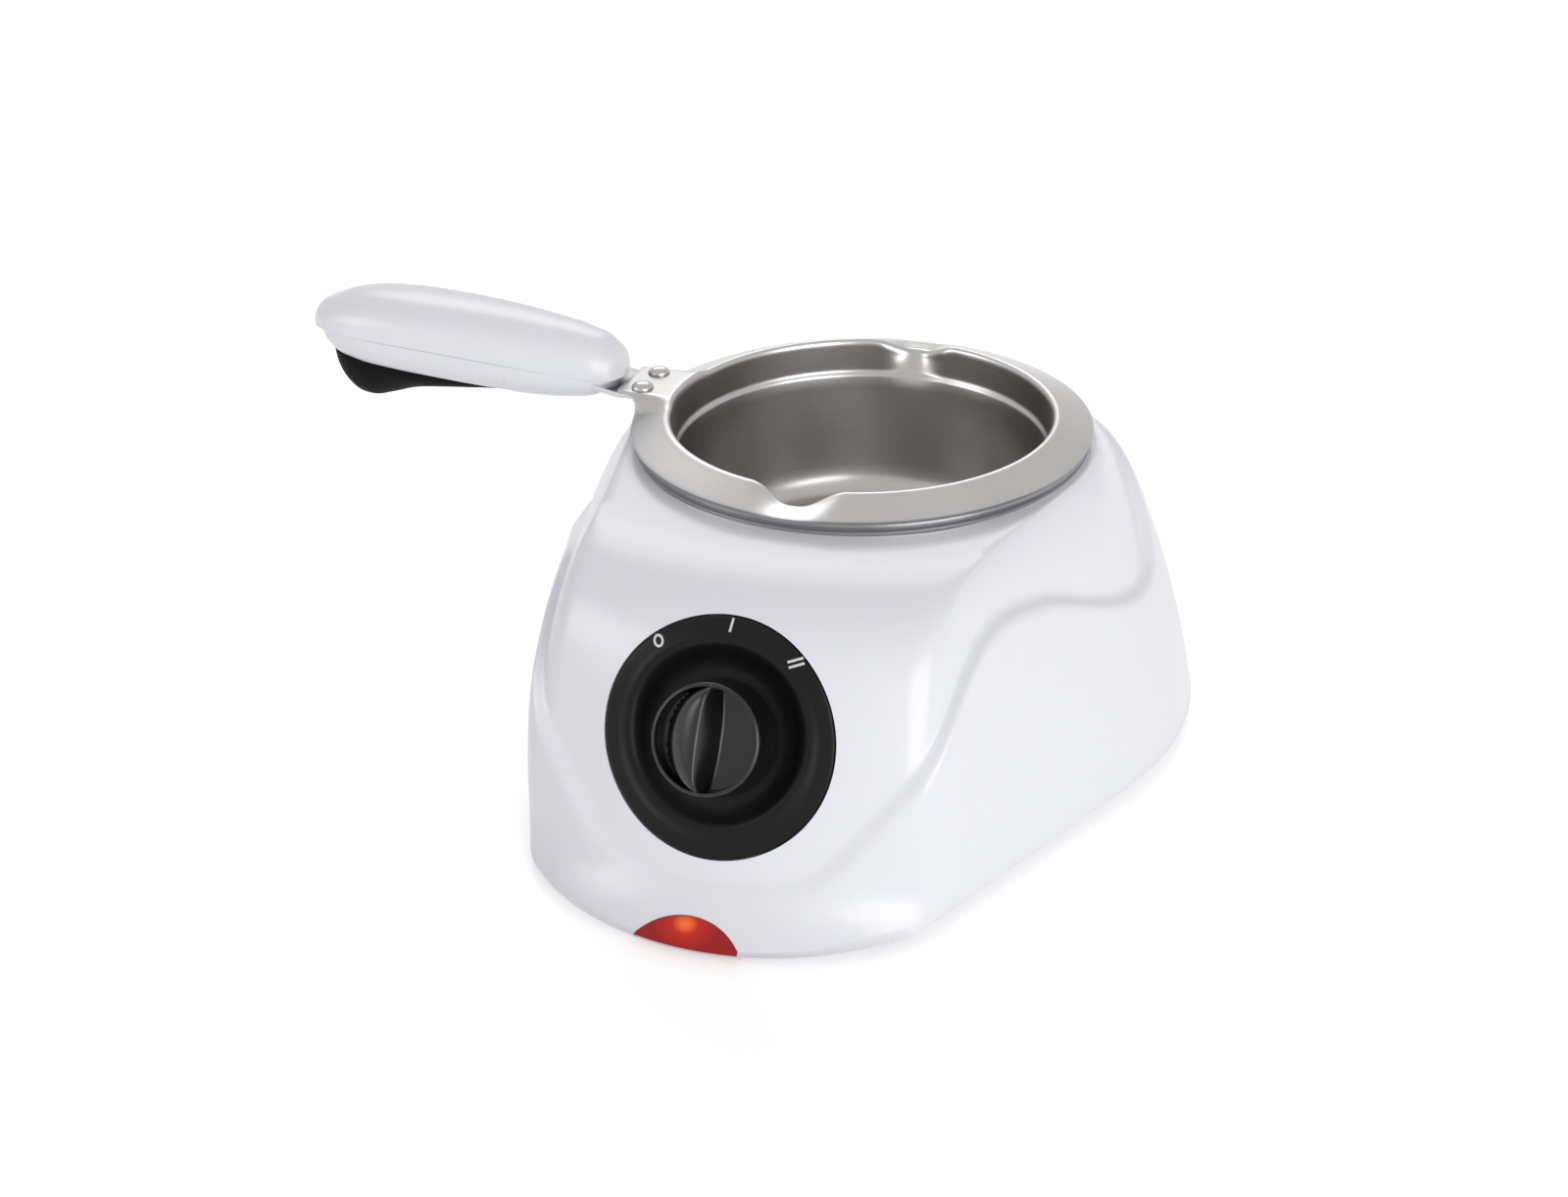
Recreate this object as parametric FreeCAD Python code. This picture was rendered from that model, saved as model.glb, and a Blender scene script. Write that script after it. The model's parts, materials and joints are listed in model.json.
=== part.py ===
"""Electric chocolate fondue set: housing with heated well, lift-out pot and rotary switch.

Millimetres, +Z up. The origin is on the pot's axis, on the surface that the feet stand on.
The control panel faces -Y and the pot's handle points to -X.
"""
import FreeCAD
import Part
import math
import os
from FreeCAD import Vector

# Heights above the table
foot_height = 2.5
mouth_height = 74.0
rim_height = 78.0
mouth_crown = 0.2

# Housing, seen in plan: a round rear, straight flanks and a curved nose
lip_width = 2.9
lip_nose_gain = 2.5
shoulder_gain = 9.0
base_radius = 88.5
base_nose = 124.0
shoulder_height = 69.5
waist_radius = 85.0
waist_height = 25.0
panel_shoulder = 104.0
panel_shoulder_height = 66.0
nose_radius_low = 66.0
nose_radius_high = 125.0
nose_radius_gain = 1.7
corner_radius_low = 24.0
corner_radius_high = 11.0
corner_radius_loss = 0.366
flank_bearing_low = 64.0
flank_bearing_gain = 0.15
wall = 2.2

# Skirt that stands proud of the bell below a wavy edge
skirt_proud = 3.0
skirt_nose_proud = 1.8
flare = 8.1
flare_top = 14.0
wave_nose_height = 11.5
wave_crest_height = 61.5
wave_dip_height = 44.5
wave_rear_height = 67.0
wave_crest_reach = 69.0
wave_dip_reach = 7.0
wave_rear_reach = 34.0
wave_sag = 0.5

# Mouth of the housing, collar and heated well
mouth_clearance = 1.7
collar_inset = 0.7
collar_width = 2.3
collar_height = 2.1
collar_wall = 1.0
collar_tab_width = 5.0
collar_tab_count = 3
collar_tab_drop = 7.0
well_clearance = 1.8
well_wall = 1.0
well_flange_thickness = 0.8
well_flange_inset = 0.3
well_corner = 6.0

# Pot
pot_rim_radius = 61.0
pot_flange_width = 9.6
pot_crest_rise = 3.5
pot_wall = 1.2
pot_floor_height = 36.0
pot_taper = 4.6
pot_step_drop = 9.5
pot_step = 0.9
pot_corner = 8.0
spout_radius = 11.0
spout_depth = 3.3
tab_half_width = 9.0
tab_reach = 5.5
tab_fillet = 9.0
tab_rise = 0.9
tab_thickness = 1.0

# Handle
tang_width = 17.0
tang_thickness = 1.5
tang_lap = 1.6
tang_bend_gap = 0.5
tang_crank_run = 28.5
tang_run = 45.5
rivet_radius = 1.9
rivet_head_radius = 2.9
rivet_head_height = 1.8
rivet_inset = 0.7
rivet_spacing = 11.4
handle_gap = 1.0
handle_length = 95.5
handle_width = 30.0
handle_rise = 11.0
handle_wall = 2.0
lower_setback = 2.5
lower_depth = 12.0
grip_run = 30.5
grip_inset = 5.0
grip_depth = 20.4
grip_half_width = 11.5
seat_drop_front = 8.6
seat_drop_rear = 6.4
seam_gap = 0.15
handle_screw_runs = (18.5, 60.5)
seam_crest_run = 63.0
handle_screw_depth = 4.2
handle_boss_radius = 3.4
screw_boss_radius = 4.8
handle_screw_length = 10.5

# Dial, knob and rotary switch
dial_height = 45.0
dial_sink = 0.5
dial_tilt = 28.0
dial_radius = 28.0
dial_clearance = 0.3
dial_ring_width = 6.0
dial_hole_clearance = 0.8
dish_radius = 16.5
dish_depth = 4.5
dish_swell = 0.45
dial_thickness = 2.2
knob_base_radius = 13.6
knob_top_radius = 13.0
knob_height = 6.5
knob_gap = 0.3
knob_round = 0.9
knob_pocket_radius = 11.8
knob_pocket_depth = 3.5
blade_height = 2.8
blade_steep_foot = 2.6
blade_soft_foot = 9.6
blade_swell = 0.72
shaft_radius = 3.0
shaft_flat = 2.2
shaft_length = 21.0
shaft_clearance = 0.05
bush_radius = 4.9
switch_width = 24.0
switch_length = 26.0
switch_depth = 16.0
switch_nut_flats = 14.0
switch_nut_thickness = 2.3
tab_terminal = (6.3, 0.8, 8.0)

# Power lamp
lens_half_width = 13.2
lens_height = 4.8
lens_thickness = 2.2
lens_clearance = 0.15
lamp_radius = 3.0
lamp_length = 14.0
lamp_height = 7.9
lamp_gap = 5.3
lamp_stand_depth = 9.0

# Heater stack under the well
heater_radius = 40.0
heater_thickness = 5.0
element_radius = 29.0
element_tube = 3.3
element_gap_bearing = 24.0
pin_radius = 1.6
pin_length = 10.0
mica_radius = 38.0
mica_thickness = 0.8
clamp_radius = 32.0
clamp_thickness = 1.2
clamp_rim = 4.0
stud_radius = 2.5
stud_length = 16.0
heater_nut_flats = 8.0
heater_nut_thickness = 4.0
thermostat_radius = 8.5
thermostat_height = 9.0
thermostat_place = (17.0, 10.0)
fuse_radius = 2.0
fuse_length = 11.0
fuse_place = (-15.0, 9.0)

# Base plate, feet and mains inlet
cover_inset = 6.0
cover_gap = 0.4
cover_thickness = 2.0
foot_radius = 7.5
foot_stem_radius = 3.0
front_foot = (37.0, -106.5)
rear_foot = (44.0, 60.0)
boss_radius = 4.5
boss_top = 26.0
front_boss = (65.5, -52.0)
rear_boss = (55.0, 55.0)
cover_screw_radius = 1.5
cover_screw_length = 12.0
screw_head_radius = 3.2
screw_head_height = 1.3
vent_width = 3.0
vent_length = 26.0
vent_pitch = 8.0
vent_count = 6
gland_height = 16.0
gland_radius = 6.3
gland_bore = 3.7
gland_flange_radius = 8.5
gland_flange = 1.5
gland_inside = 5.0
gland_clearance = 0.15
terminal_block_size = (30.0, 16.0, 13.0)
terminal_block_y = 42.0
terminal_pitch = 9.0
clamp_bar_y = 66.0
clamp_post_spacing = 20.0
clamp_post_radius = 4.0
clamp_bar_size = (28.0, 9.0, 4.0)
cord_channel_radius = 3.2
clamp_screw_length = 10.0
fit_clearance = 0.08

BIG = 400.0

# Rings that follow from the pot outwards
pot_crest_radius = pot_rim_radius - pot_flange_width
pot_floor_radius = pot_crest_radius - pot_taper
well_radius = pot_crest_radius + well_clearance
collar_radius = pot_rim_radius - collar_inset
well_flange_radius = collar_radius - well_flange_inset
mouth_radius = collar_radius - mouth_clearance
lip_radius = mouth_radius + lip_width
lip_nose = lip_radius + lip_nose_gain
shoulder_radius = lip_radius + shoulder_gain

# Places along the handle, out from the pot's axis
rivet_x = pot_rim_radius - rivet_inset
tab_end = pot_rim_radius + tab_reach
tang_start = pot_crest_radius + tang_lap
tang_bend = tab_end + tang_bend_gap
tang_crank = tab_end + tang_crank_run
tang_end = tab_end + tang_run
handle_start = tab_end + handle_gap
handle_end = handle_start + handle_length
lower_start = handle_start + lower_setback
lower_end = handle_end - lower_setback
grip_start = handle_start + grip_run
grip_end = handle_end - grip_inset
handle_screw_x = [handle_start + run for run in handle_screw_runs]


def lathe(points):
    """Solid turned about the Z axis from (radius, height) points."""
    outline = Part.makePolygon([Vector(r, 0, z) for r, z in points + points[:1]])
    return Part.Face(outline).revolve(Vector(), Vector(0, 0, 1), 360)


def lathe_edges(edges):
    """Solid turned about the Z axis from a closed chain of edges in the XZ plane."""
    return Part.Face(Part.Wire(edges)).revolve(Vector(), Vector(0, 0, 1), 360)


def line(a, b):
    return Part.LineSegment(Vector(a[0], 0, a[1]), Vector(b[0], 0, b[1])).toShape()


def arc(a, through, b):
    return Part.Arc(Vector(a[0], 0, a[1]), Vector(through[0], 0, through[1]), Vector(b[0], 0, b[1])).toShape()


def rod(radius, start, end):
    """Cylinder between two points."""
    start, end = Vector(*start), Vector(*end)
    return Part.makeCylinder(radius, (end - start).Length, start, end - start)


def block(x0, x1, y0, y1, z0, z1):
    return Part.makeBox(x1 - x0, y1 - y0, z1 - z0, Vector(x0, y0, z0))


def hexagon(flats, thickness, base=Vector()):
    radius = flats / 2 / math.cos(math.pi / 6)
    corners = [Vector(radius * math.cos(math.pi / 3 * k), radius * math.sin(math.pi / 3 * k), 0) for k in range(7)]
    prism = Part.Face(Part.makePolygon(corners)).extrude(Vector(0, 0, thickness))
    prism.translate(base)
    return prism


def join(shapes):
    whole = shapes[0]
    for shape in shapes[1:]:
        whole = whole.fuse(shape)
    return whole.removeSplitter()


def save(name, shape):
    shape.exportStep(os.path.join("parts", name + ".step"))
    print(name, "valid" if shape.isValid() else "NOT VALID", len(shape.Solids), "solids", round(shape.Volume))


def bezier(poles, share):
    """Point at a share, 0 to 1, of the way along a cubic Bezier curve."""
    rest = 1 - share
    weights = (rest**3, 3 * share * rest**2, 3 * share**2 * rest, share**3)
    return tuple(sum(w * pole[k] for w, pole in zip(weights, poles)) for k in range(len(poles[0])))


def reach_at(poles, height):
    """Reach of a falling profile curve where it passes a height."""
    low, high = 0.0, 1.0
    for step in range(40):
        middle = (low + high) / 2
        if bezier(poles, middle)[1] > height:
            low = middle
        else:
            high = middle
    return bezier(poles, low)[0]


profile_top = mouth_height + mouth_crown
side_profile = (
    (lip_radius, profile_top),
    (shoulder_radius, shoulder_height),
    (waist_radius, waist_height),
    (base_radius, foot_height),
)
nose_profile = (
    (lip_nose, profile_top),
    (panel_shoulder, profile_top),
    (panel_shoulder, panel_shoulder_height),
    (base_nose, foot_height),
)


def plan_section(height, rear, nose, inset=0.0, drop=0.0):
    """Closed plan outline: round rear, flanks tangent to it, curved nose and round corners."""
    rise = height - foot_height
    nose_radius = min(nose_radius_high, nose_radius_low + nose_radius_gain * rise) - inset
    corner = max(corner_radius_high, corner_radius_low - corner_radius_loss * rise) - inset
    bearing = math.radians(flank_bearing_low + flank_bearing_gain * rise)
    rear -= inset
    nose -= inset
    outward = Vector(math.sin(bearing), -math.cos(bearing), 0)
    forward = Vector(-math.cos(bearing), -math.sin(bearing), 0)
    nose_centre = Vector(0, nose_radius - nose, 0)
    start = outward * (rear - corner)
    along = (start - nose_centre).dot(forward)
    square = (start - nose_centre).Length ** 2 - (nose_radius - corner) ** 2
    corner_centre = start + forward * (math.sqrt(along**2 - square) - along)
    to_nose = (corner_centre - nose_centre).normalize()
    rear_tangent = outward * rear
    flank_end = corner_centre + outward * corner
    nose_end = nose_centre + to_nose * nose_radius
    corner_middle = corner_centre + (outward + to_nose).normalize() * corner
    quarter = (math.pi + bearing) / 2
    rear_middle = Vector(rear * math.sin(quarter), -rear * math.cos(quarter), 0)
    lift = Vector(0, 0, height - drop)

    def left(point):
        return Vector(-point.x, point.y, 0)

    def curve(kind, *points):
        return kind(*[point + lift for point in points]).toShape()

    back = Vector(0, rear, 0)
    return Part.Wire([
        curve(Part.Arc, left(nose_end), Vector(0, -nose, 0), nose_end),
        curve(Part.Arc, nose_end, corner_middle, flank_end),
        curve(Part.LineSegment, flank_end, rear_tangent),
        curve(Part.Arc, rear_tangent, rear_middle, back),
        curve(Part.Arc, back, left(rear_middle), left(rear_tangent)),
        curve(Part.LineSegment, left(rear_tangent), left(flank_end)),
        curve(Part.Arc, left(flank_end), left(corner_middle), left(nose_end)),
    ])


def share_heights(low, high, shares):
    return [high - (high - low) * share for share in shares]


bell_shares = (0.0, 0.01, 0.022, 0.05, 0.09, 0.155, 0.24, 0.35, 0.475, 0.615, 0.755, 0.88, 1.0)
skirt_shares = (0.0, 0.09, 0.19, 0.31, 0.445, 0.58, 0.7, 0.785, 0.845, 0.89, 0.926, 0.963, 1.0)


def bell_solid(inset=0.0):
    """The bell round the pot with its forward panel; an inset gives the space inside the wall."""
    heights = share_heights(foot_height, mouth_height, bell_shares)
    span = mouth_height - foot_height
    sections = []
    for height in heights:
        drop = inset * (height - foot_height) / span
        rear, nose = reach_at(side_profile, height), reach_at(nose_profile, height)
        sections.append(plan_section(height, rear, nose, inset, drop))
    return Part.makeLoft(sections, True, False)


def skirt_reach(height):
    rear = reach_at(side_profile, height) + skirt_proud
    foot = max(0.0, flare_top - height) / (flare_top - foot_height)
    return rear, reach_at(nose_profile, height) + skirt_nose_proud + flare * foot**2


def skirt_solid():
    top = wave_rear_height + skirt_proud
    sections = []
    for height in share_heights(foot_height, top, skirt_shares):
        sections.append(plan_section(height, *skirt_reach(height)))
    return Part.makeLoft(sections, True, False)


# The wavy edge between its turning points, as (share along, share of the rise or fall)
wave_climb = ((0.11, 0.05), (0.22, 0.27), (0.33, 0.5), (0.455, 0.67), (0.6, 0.81), (0.78, 0.94))
wave_fall = ((0.19, 0.07), (0.39, 0.28), (0.58, 0.62), (0.79, 0.91))
wave_back = ((0.27, 0.11), (0.49, 0.47), (0.71, 0.84))


def wave_points():
    """The skirt's wavy edge seen from the side, as (y, z) points from the nose to the rear."""
    margin = flare + 13
    nose = (-base_nose, wave_nose_height)
    crest = (-wave_crest_reach, wave_crest_height)
    dip = (-wave_dip_reach, wave_dip_height)
    rear = (wave_rear_reach, wave_rear_height - wave_sag)
    points = [(nose[0] - margin, wave_nose_height - wave_sag), nose]
    for shares, start, end in ((wave_climb, nose, crest), (wave_fall, crest, dip), (wave_back, dip, rear)):
        for along, up in shares:
            points.append((start[0] + along * (end[0] - start[0]), start[1] + up * (end[1] - start[1])))
        points.append(end)
    settled = (rear[0] + base_radius) / 2
    return points + [(settled, wave_rear_height), (base_radius + margin, wave_rear_height)]


def wave_block():
    """Everything below the skirt's wavy edge."""
    points = wave_points()
    edge = Part.BSplineCurve()
    edge.interpolate([Vector(0, y, z) for y, z in points])
    front, rear = points[0], points[-1]
    floor = foot_height - 8
    border = Part.makePolygon([
        Vector(0, *rear), Vector(0, rear[0], floor), Vector(0, front[0], floor), Vector(0, *front)
    ])
    side = Part.Face(Part.Wire([edge.toShape()] + border.Edges))
    side.translate(Vector(-BIG / 2, 0, 0))
    return side.extrude(Vector(BIG, 0, 0))


dial_reach = reach_at(nose_profile, dial_height) - dial_sink
lamp_reach = reach_at(nose_profile, lamp_height) - wall - lamp_gap - lamp_radius

# The dial's own frame: Z out of the panel, Y up the slope, origin at the ring's front plane
dial_frame = FreeCAD.Placement(
    Vector(0, -dial_reach, dial_height), FreeCAD.Rotation(Vector(1, 0, 0), 90 - dial_tilt)
)
pocket_floor = -(dish_depth + dial_thickness + dial_clearance)
switch_front = pocket_floor - wall


def on_dial(shape):
    shape.Placement = dial_frame.multiply(shape.Placement)
    return shape


def dial_cylinder(radius, low, high):
    return Part.makeCylinder(radius, high - low, Vector(0, 0, low))


def lens_prism(grow=0.0):
    """Straight prism over the lens outline: a low arch standing on the housing's edge."""
    low = foot_height + 0.4 - grow
    tip = lens_half_width + grow
    top = foot_height + lens_height + grow
    arch = Part.Arc(Vector(tip, 0, low), Vector(0, 0, top), Vector(-tip, 0, low)).toShape()
    chord = Part.LineSegment(Vector(-tip, 0, low), Vector(tip, 0, low)).toShape()
    prism = Part.Face(Part.Wire([arch, chord])).extrude(Vector(0, 30, 0))
    prism.translate(Vector(0, -base_nose - 16, 0))
    return prism


def boss_places():
    return [(side * x, y) for x, y in (front_boss, rear_boss) for side in (-1, 1)]


def foot_places():
    return [(side * x, y) for x, y in (front_foot, rear_foot) for side in (-1, 1)]


cover_low = foot_height
cover_high = cover_low + cover_thickness


def gland_seat():
    """Reach of the leaning rear wall where the inlet's flange comes nearest to it."""
    return skirt_reach(gland_height - gland_flange_radius)[0] + gland_clearance


def housing_outside():
    skirt = skirt_solid().common(wave_block())
    return bell_solid().fuse(skirt).removeSplitter()


def housing(outside):
    shell = outside.cut(bell_solid(wall))
    pocket_radius = dial_radius + dial_clearance
    pocket_wall = on_dial(dial_cylinder(pocket_radius + wall, switch_front, 20)).common(outside)
    bosses = [rod(boss_radius, (x, y, cover_high + 0.2), (x, y, boss_top)) for x, y in boss_places()]
    shell = join([shell, pocket_wall] + [boss.common(outside) for boss in bosses])
    cuts = [
        rod(mouth_radius, (0, 0, mouth_height - 20), (0, 0, mouth_height + 10)),
        on_dial(dial_cylinder(pocket_radius, pocket_floor, 30)),
        on_dial(dial_cylinder(bush_radius + 0.1, switch_front - 5, 0)),
        lens_prism(lens_clearance),
        rod(gland_radius + gland_clearance, (0, gland_seat() - 20, gland_height), (0, BIG, gland_height)),
    ]
    seat = Part.Face(plan_section(foot_height, *skirt_reach(foot_height), cover_inset - cover_gap))
    cuts.append(seat.extrude(Vector(0, 0, cover_high + 0.2 - foot_height)))
    for x, y in boss_places():
        cuts.append(rod(cover_screw_radius, (x, y, 0), (x, y, cover_high + cover_screw_length)))
    for cut in cuts:
        shell = shell.cut(cut)
    return shell


def lens(outside):
    body = outside.common(lens_prism())
    behind = outside.copy()
    behind.translate(Vector(0, lens_thickness, 0))
    return body.cut(behind)


def bottom_cover():
    """Base plate with vents, posts for the mains clamp and holes for screws and feet."""
    outline = plan_section(foot_height, *skirt_reach(foot_height), cover_inset)
    plate = Part.Face(outline).extrude(Vector(0, 0, cover_thickness))
    posts = []
    for side in (-1, 1):
        x = side * clamp_post_spacing / 2
        posts.append(rod(clamp_post_radius, (x, clamp_bar_y, cover_low), (x, clamp_bar_y, gland_height)))
    cover = join([plate] + posts)
    for x, y in foot_places():
        cover = cover.cut(rod(foot_stem_radius + fit_clearance, (x, y, 0), (x, y, cover_high + 1)))
    for x, y in boss_places():
        cover = cover.cut(rod(cover_screw_radius + 0.2, (x, y, 0), (x, y, cover_high + 1)))
        cover = cover.cut(rod(screw_head_radius + 0.2, (x, y, 0), (x, y, cover_low + screw_head_height)))
    first = -vent_pitch * (vent_count - 1) / 2
    for row in (-1, 1):
        for k in range(vent_count):
            x, y = first + vent_pitch * k, row * vent_length * 0.75 - 18
            half = vent_length / 2 - vent_width / 2
            slot = block(x - vent_width / 2, x + vent_width / 2, y - half, y + half, 0, 10)
            ends = [rod(vent_width / 2, (x, y + end * half, 0), (x, y + end * half, 10)) for end in (-1, 1)]
            cover = cover.cut(join([slot] + ends))
    for side in (-1, 1):
        x = side * clamp_post_spacing / 2
        cover = cover.cut(rod(cover_screw_radius, (x, clamp_bar_y, gland_height - 8), (x, clamp_bar_y, BIG)))
    return cover


def feet():
    pads = []
    for x, y in foot_places():
        pad = Part.makeCylinder(foot_radius, cover_low, Vector(x, y, 0))
        pad = pad.makeFillet(0.8, [edge for edge in pad.Edges if edge.BoundBox.ZMax < 0.1])
        stem = rod(foot_stem_radius, (x, y, 0.5), (x, y, cover_high))
        pads.append(join([pad, stem]))
    return Part.makeCompound(pads)


def screw(length, head_low, head_height=screw_head_height):
    """Pan-head screw pointing up, its head's underside resting at the given height."""
    head = Part.makeCylinder(screw_head_radius, head_height, Vector(0, 0, head_low - head_height))
    head = head.cut(Part.makeBox(2 * screw_head_radius, 0.8, 0.6, Vector(-screw_head_radius, -0.4, head_low - head_height)))
    shank = Part.makeCylinder(cover_screw_radius, length, Vector(0, 0, head_low))
    return join([head, shank])


def placed(shape, x, y, z=0.0):
    copy = shape.copy()
    copy.translate(Vector(x, y, z))
    return copy


def cover_screws():
    single = screw(cover_screw_length, cover_low + screw_head_height)
    return Part.makeCompound([placed(single, x, y) for x, y in boss_places()])


def collar_tab(grow=0.0):
    half = collar_tab_width / 2 + grow
    outer = mouth_radius - 0.2 + grow
    low = mouth_height - collar_tab_drop
    return block(outer - collar_wall - 2 * grow, outer, -half, half, low, collar_low + 0.5)


collar_low = mouth_height + well_flange_thickness
collar_high = collar_low + collar_height


def round_the_axis(shape, count, first=0.0):
    copies = []
    for k in range(count):
        copy = shape.copy()
        copy.rotate(Vector(), Vector(0, 0, 1), first + 360 / count * k)
        copies.append(copy)
    return copies


def well_collar():
    inner = collar_radius - collar_width
    band = lathe([
        (inner, collar_low),
        (collar_radius, collar_low),
        (collar_radius, collar_high),
        (collar_radius - collar_wall, collar_high),
        (collar_radius - collar_wall, collar_low + collar_wall),
        (inner, collar_low + collar_wall),
    ])
    return join([band] + round_the_axis(collar_tab(), collar_tab_count, 30.0))


well_floor_top = pot_floor_height - pot_wall - 0.5
well_floor_low = well_floor_top - well_wall


def heating_well():
    outer = well_radius + well_wall
    bend = well_corner * (1 - math.sqrt(0.5))
    inner_bend = (well_corner - well_wall) * (1 - math.sqrt(0.5))
    top = collar_low
    cup = lathe_edges([
        line((0, well_floor_low), (outer - well_corner, well_floor_low)),
        arc((outer - well_corner, well_floor_low), (outer - bend, well_floor_low + bend),
            (outer, well_floor_low + well_corner)),
        line((outer, well_floor_low + well_corner), (outer, mouth_height)),
        line((outer, mouth_height), (well_flange_radius, mouth_height)),
        line((well_flange_radius, mouth_height), (well_flange_radius, top)),
        line((well_flange_radius, top), (well_radius, top)),
        line((well_radius, top), (well_radius, well_floor_low + well_corner)),
        arc((well_radius, well_floor_low + well_corner), (well_radius - inner_bend, well_floor_top + inner_bend),
            (outer - well_corner, well_floor_top)),
        line((outer - well_corner, well_floor_top), (0, well_floor_top)),
        line((0, well_floor_top), (0, well_floor_low)),
    ])
    for slot in round_the_axis(collar_tab(0.15), collar_tab_count, 30.0):
        cup = cup.cut(slot)
    return cup


heater_low = well_floor_low - heater_thickness


def element_path():
    centre = Vector(0, 0, heater_low)
    start, end = math.radians(-90 + element_gap_bearing), math.radians(270 - element_gap_bearing)
    middle = (start + end) / 2
    points = [centre + Vector(math.cos(a), math.sin(a), 0) * element_radius for a in (start, middle, end)]
    return points


def heating_element():
    """Tubular ring, open at the front, with a cold pin at each end."""
    first, middle, last = element_path()
    path = Part.Wire([Part.Arc(first, middle, last).toShape()])
    tangent = Vector(-first.y, first.x, 0)
    ring = path.makePipe(Part.Wire([Part.makeCircle(element_tube, first, tangent)]))
    tube = Part.makeSolid(Part.makeShell(ring.Faces + [
        Part.Face(Part.Wire([Part.makeCircle(element_tube, first, tangent)])),
        Part.Face(Part.Wire([Part.makeCircle(element_tube, last, Vector(-last.y, last.x, 0))])),
    ]))
    if tube.Volume < 0:
        tube.reverse()
    pins = []
    for end, sense in ((first, -1), (last, 1)):
        direction = Vector(-end.y, end.x, 0).normalize() * sense
        tip = end + direction * 3 - Vector(0, 0, pin_length)
        pins.append(rod(pin_radius, tuple(end), tuple(end + direction * 3)))
        pins.append(rod(pin_radius, tuple(end + direction * 3 + Vector(0, 0, pin_radius)), tuple(tip)))
    return join([tube] + pins)


def heater_plate():
    plate = Part.makeCylinder(heater_radius, heater_thickness, Vector(0, 0, heater_low))
    groove = Part.makeTorus(element_radius, element_tube, Vector(0, 0, heater_low))
    stud = rod(stud_radius, (0, 0, heater_low - stud_length + 4), (0, 0, heater_low + 1))
    return join([plate.cut(groove), stud])


mica_high = heater_low - element_tube
clamp_high = mica_high - mica_thickness
clamp_low = clamp_high - clamp_thickness


def disc_with_hole(radius, high, thickness, hole):
    disc = Part.makeCylinder(radius, thickness, Vector(0, 0, high - thickness))
    return disc.cut(Part.makeCylinder(hole, thickness + 2, Vector(0, 0, high - thickness - 1)))


def pin_slot():
    """Way past the mica disc and clamp for the element's two pins."""
    reach = element_radius * math.sin(math.radians(element_gap_bearing)) + 3
    return block(-reach, reach, -BIG / 2, -element_radius + 8, 0, heater_low)


def mica_insulator():
    return disc_with_hole(mica_radius, mica_high, mica_thickness, stud_radius + 0.3).cut(pin_slot())


def heater_clamp():
    """Pressed plate with a rim turned down and a hole for the heater's stud."""
    cup = Part.makeCylinder(clamp_radius, clamp_rim, Vector(0, 0, clamp_high - clamp_rim))
    hollow = Part.makeCylinder(clamp_radius - clamp_thickness, clamp_rim, Vector(0, 0, clamp_low - clamp_rim))
    stud_hole = rod(stud_radius + fit_clearance, (0, 0, 0), (0, 0, heater_low))
    return cup.cut(hollow).cut(stud_hole).cut(pin_slot())


def heater_nut():
    nut = hexagon(heater_nut_flats, heater_nut_thickness, Vector(0, 0, clamp_low - heater_nut_thickness))
    return nut.cut(rod(stud_radius + fit_clearance, (0, 0, 0), (0, 0, clamp_low + 1)))


def thermostat():
    x, y = thermostat_place
    flange = Part.makeCylinder(thermostat_radius, 3, Vector(x, y, clamp_low - 3))
    body = Part.makeCylinder(thermostat_radius - 1.5, thermostat_height, Vector(x, y, clamp_low - thermostat_height))
    width, thickness, length = tab_terminal
    bottom = clamp_low - thermostat_height
    blades = []
    for side in (-1, 1):
        centre = y + side * 3.5
        blades.append(block(x - width / 2, x + width / 2, centre - thickness / 2, centre + thickness / 2,
                            bottom - length * 0.7, bottom + 1))
    return join([flange, body] + blades)


def thermal_fuse():
    x, y = fuse_place
    z = clamp_low - fuse_radius
    body = rod(fuse_radius, (x - fuse_length / 2, y, z), (x + fuse_length / 2, y, z))
    lead = rod(0.5, (x - fuse_length, y, z), (x + fuse_length, y, z))
    return join([body, lead])


def fuse_clip():
    """Sheet strap that holds the fuse against the clamp plate."""
    x, y = fuse_place
    half, sheet = 2.0, 0.6
    outer = rod(fuse_radius + sheet, (x - half, y, clamp_low - fuse_radius), (x + half, y, clamp_low - fuse_radius))
    saddle = join([outer, block(x - half, x + half, y - fuse_radius - sheet, y + fuse_radius + sheet,
                                clamp_low - fuse_radius, clamp_low)])
    ears = block(x - half, x + half, y - 6, y + 6, clamp_low - sheet, clamp_low)
    strap = join([saddle, ears]).common(block(-BIG, BIG, -BIG, BIG, 0, clamp_low))
    channel = join([rod(fuse_radius, (x - 9, y, clamp_low - fuse_radius), (x + 9, y, clamp_low - fuse_radius)),
                    block(x - 9, x + 9, y - fuse_radius, y + fuse_radius, clamp_low - fuse_radius, clamp_low + 1)])
    return strap.cut(channel)


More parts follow.
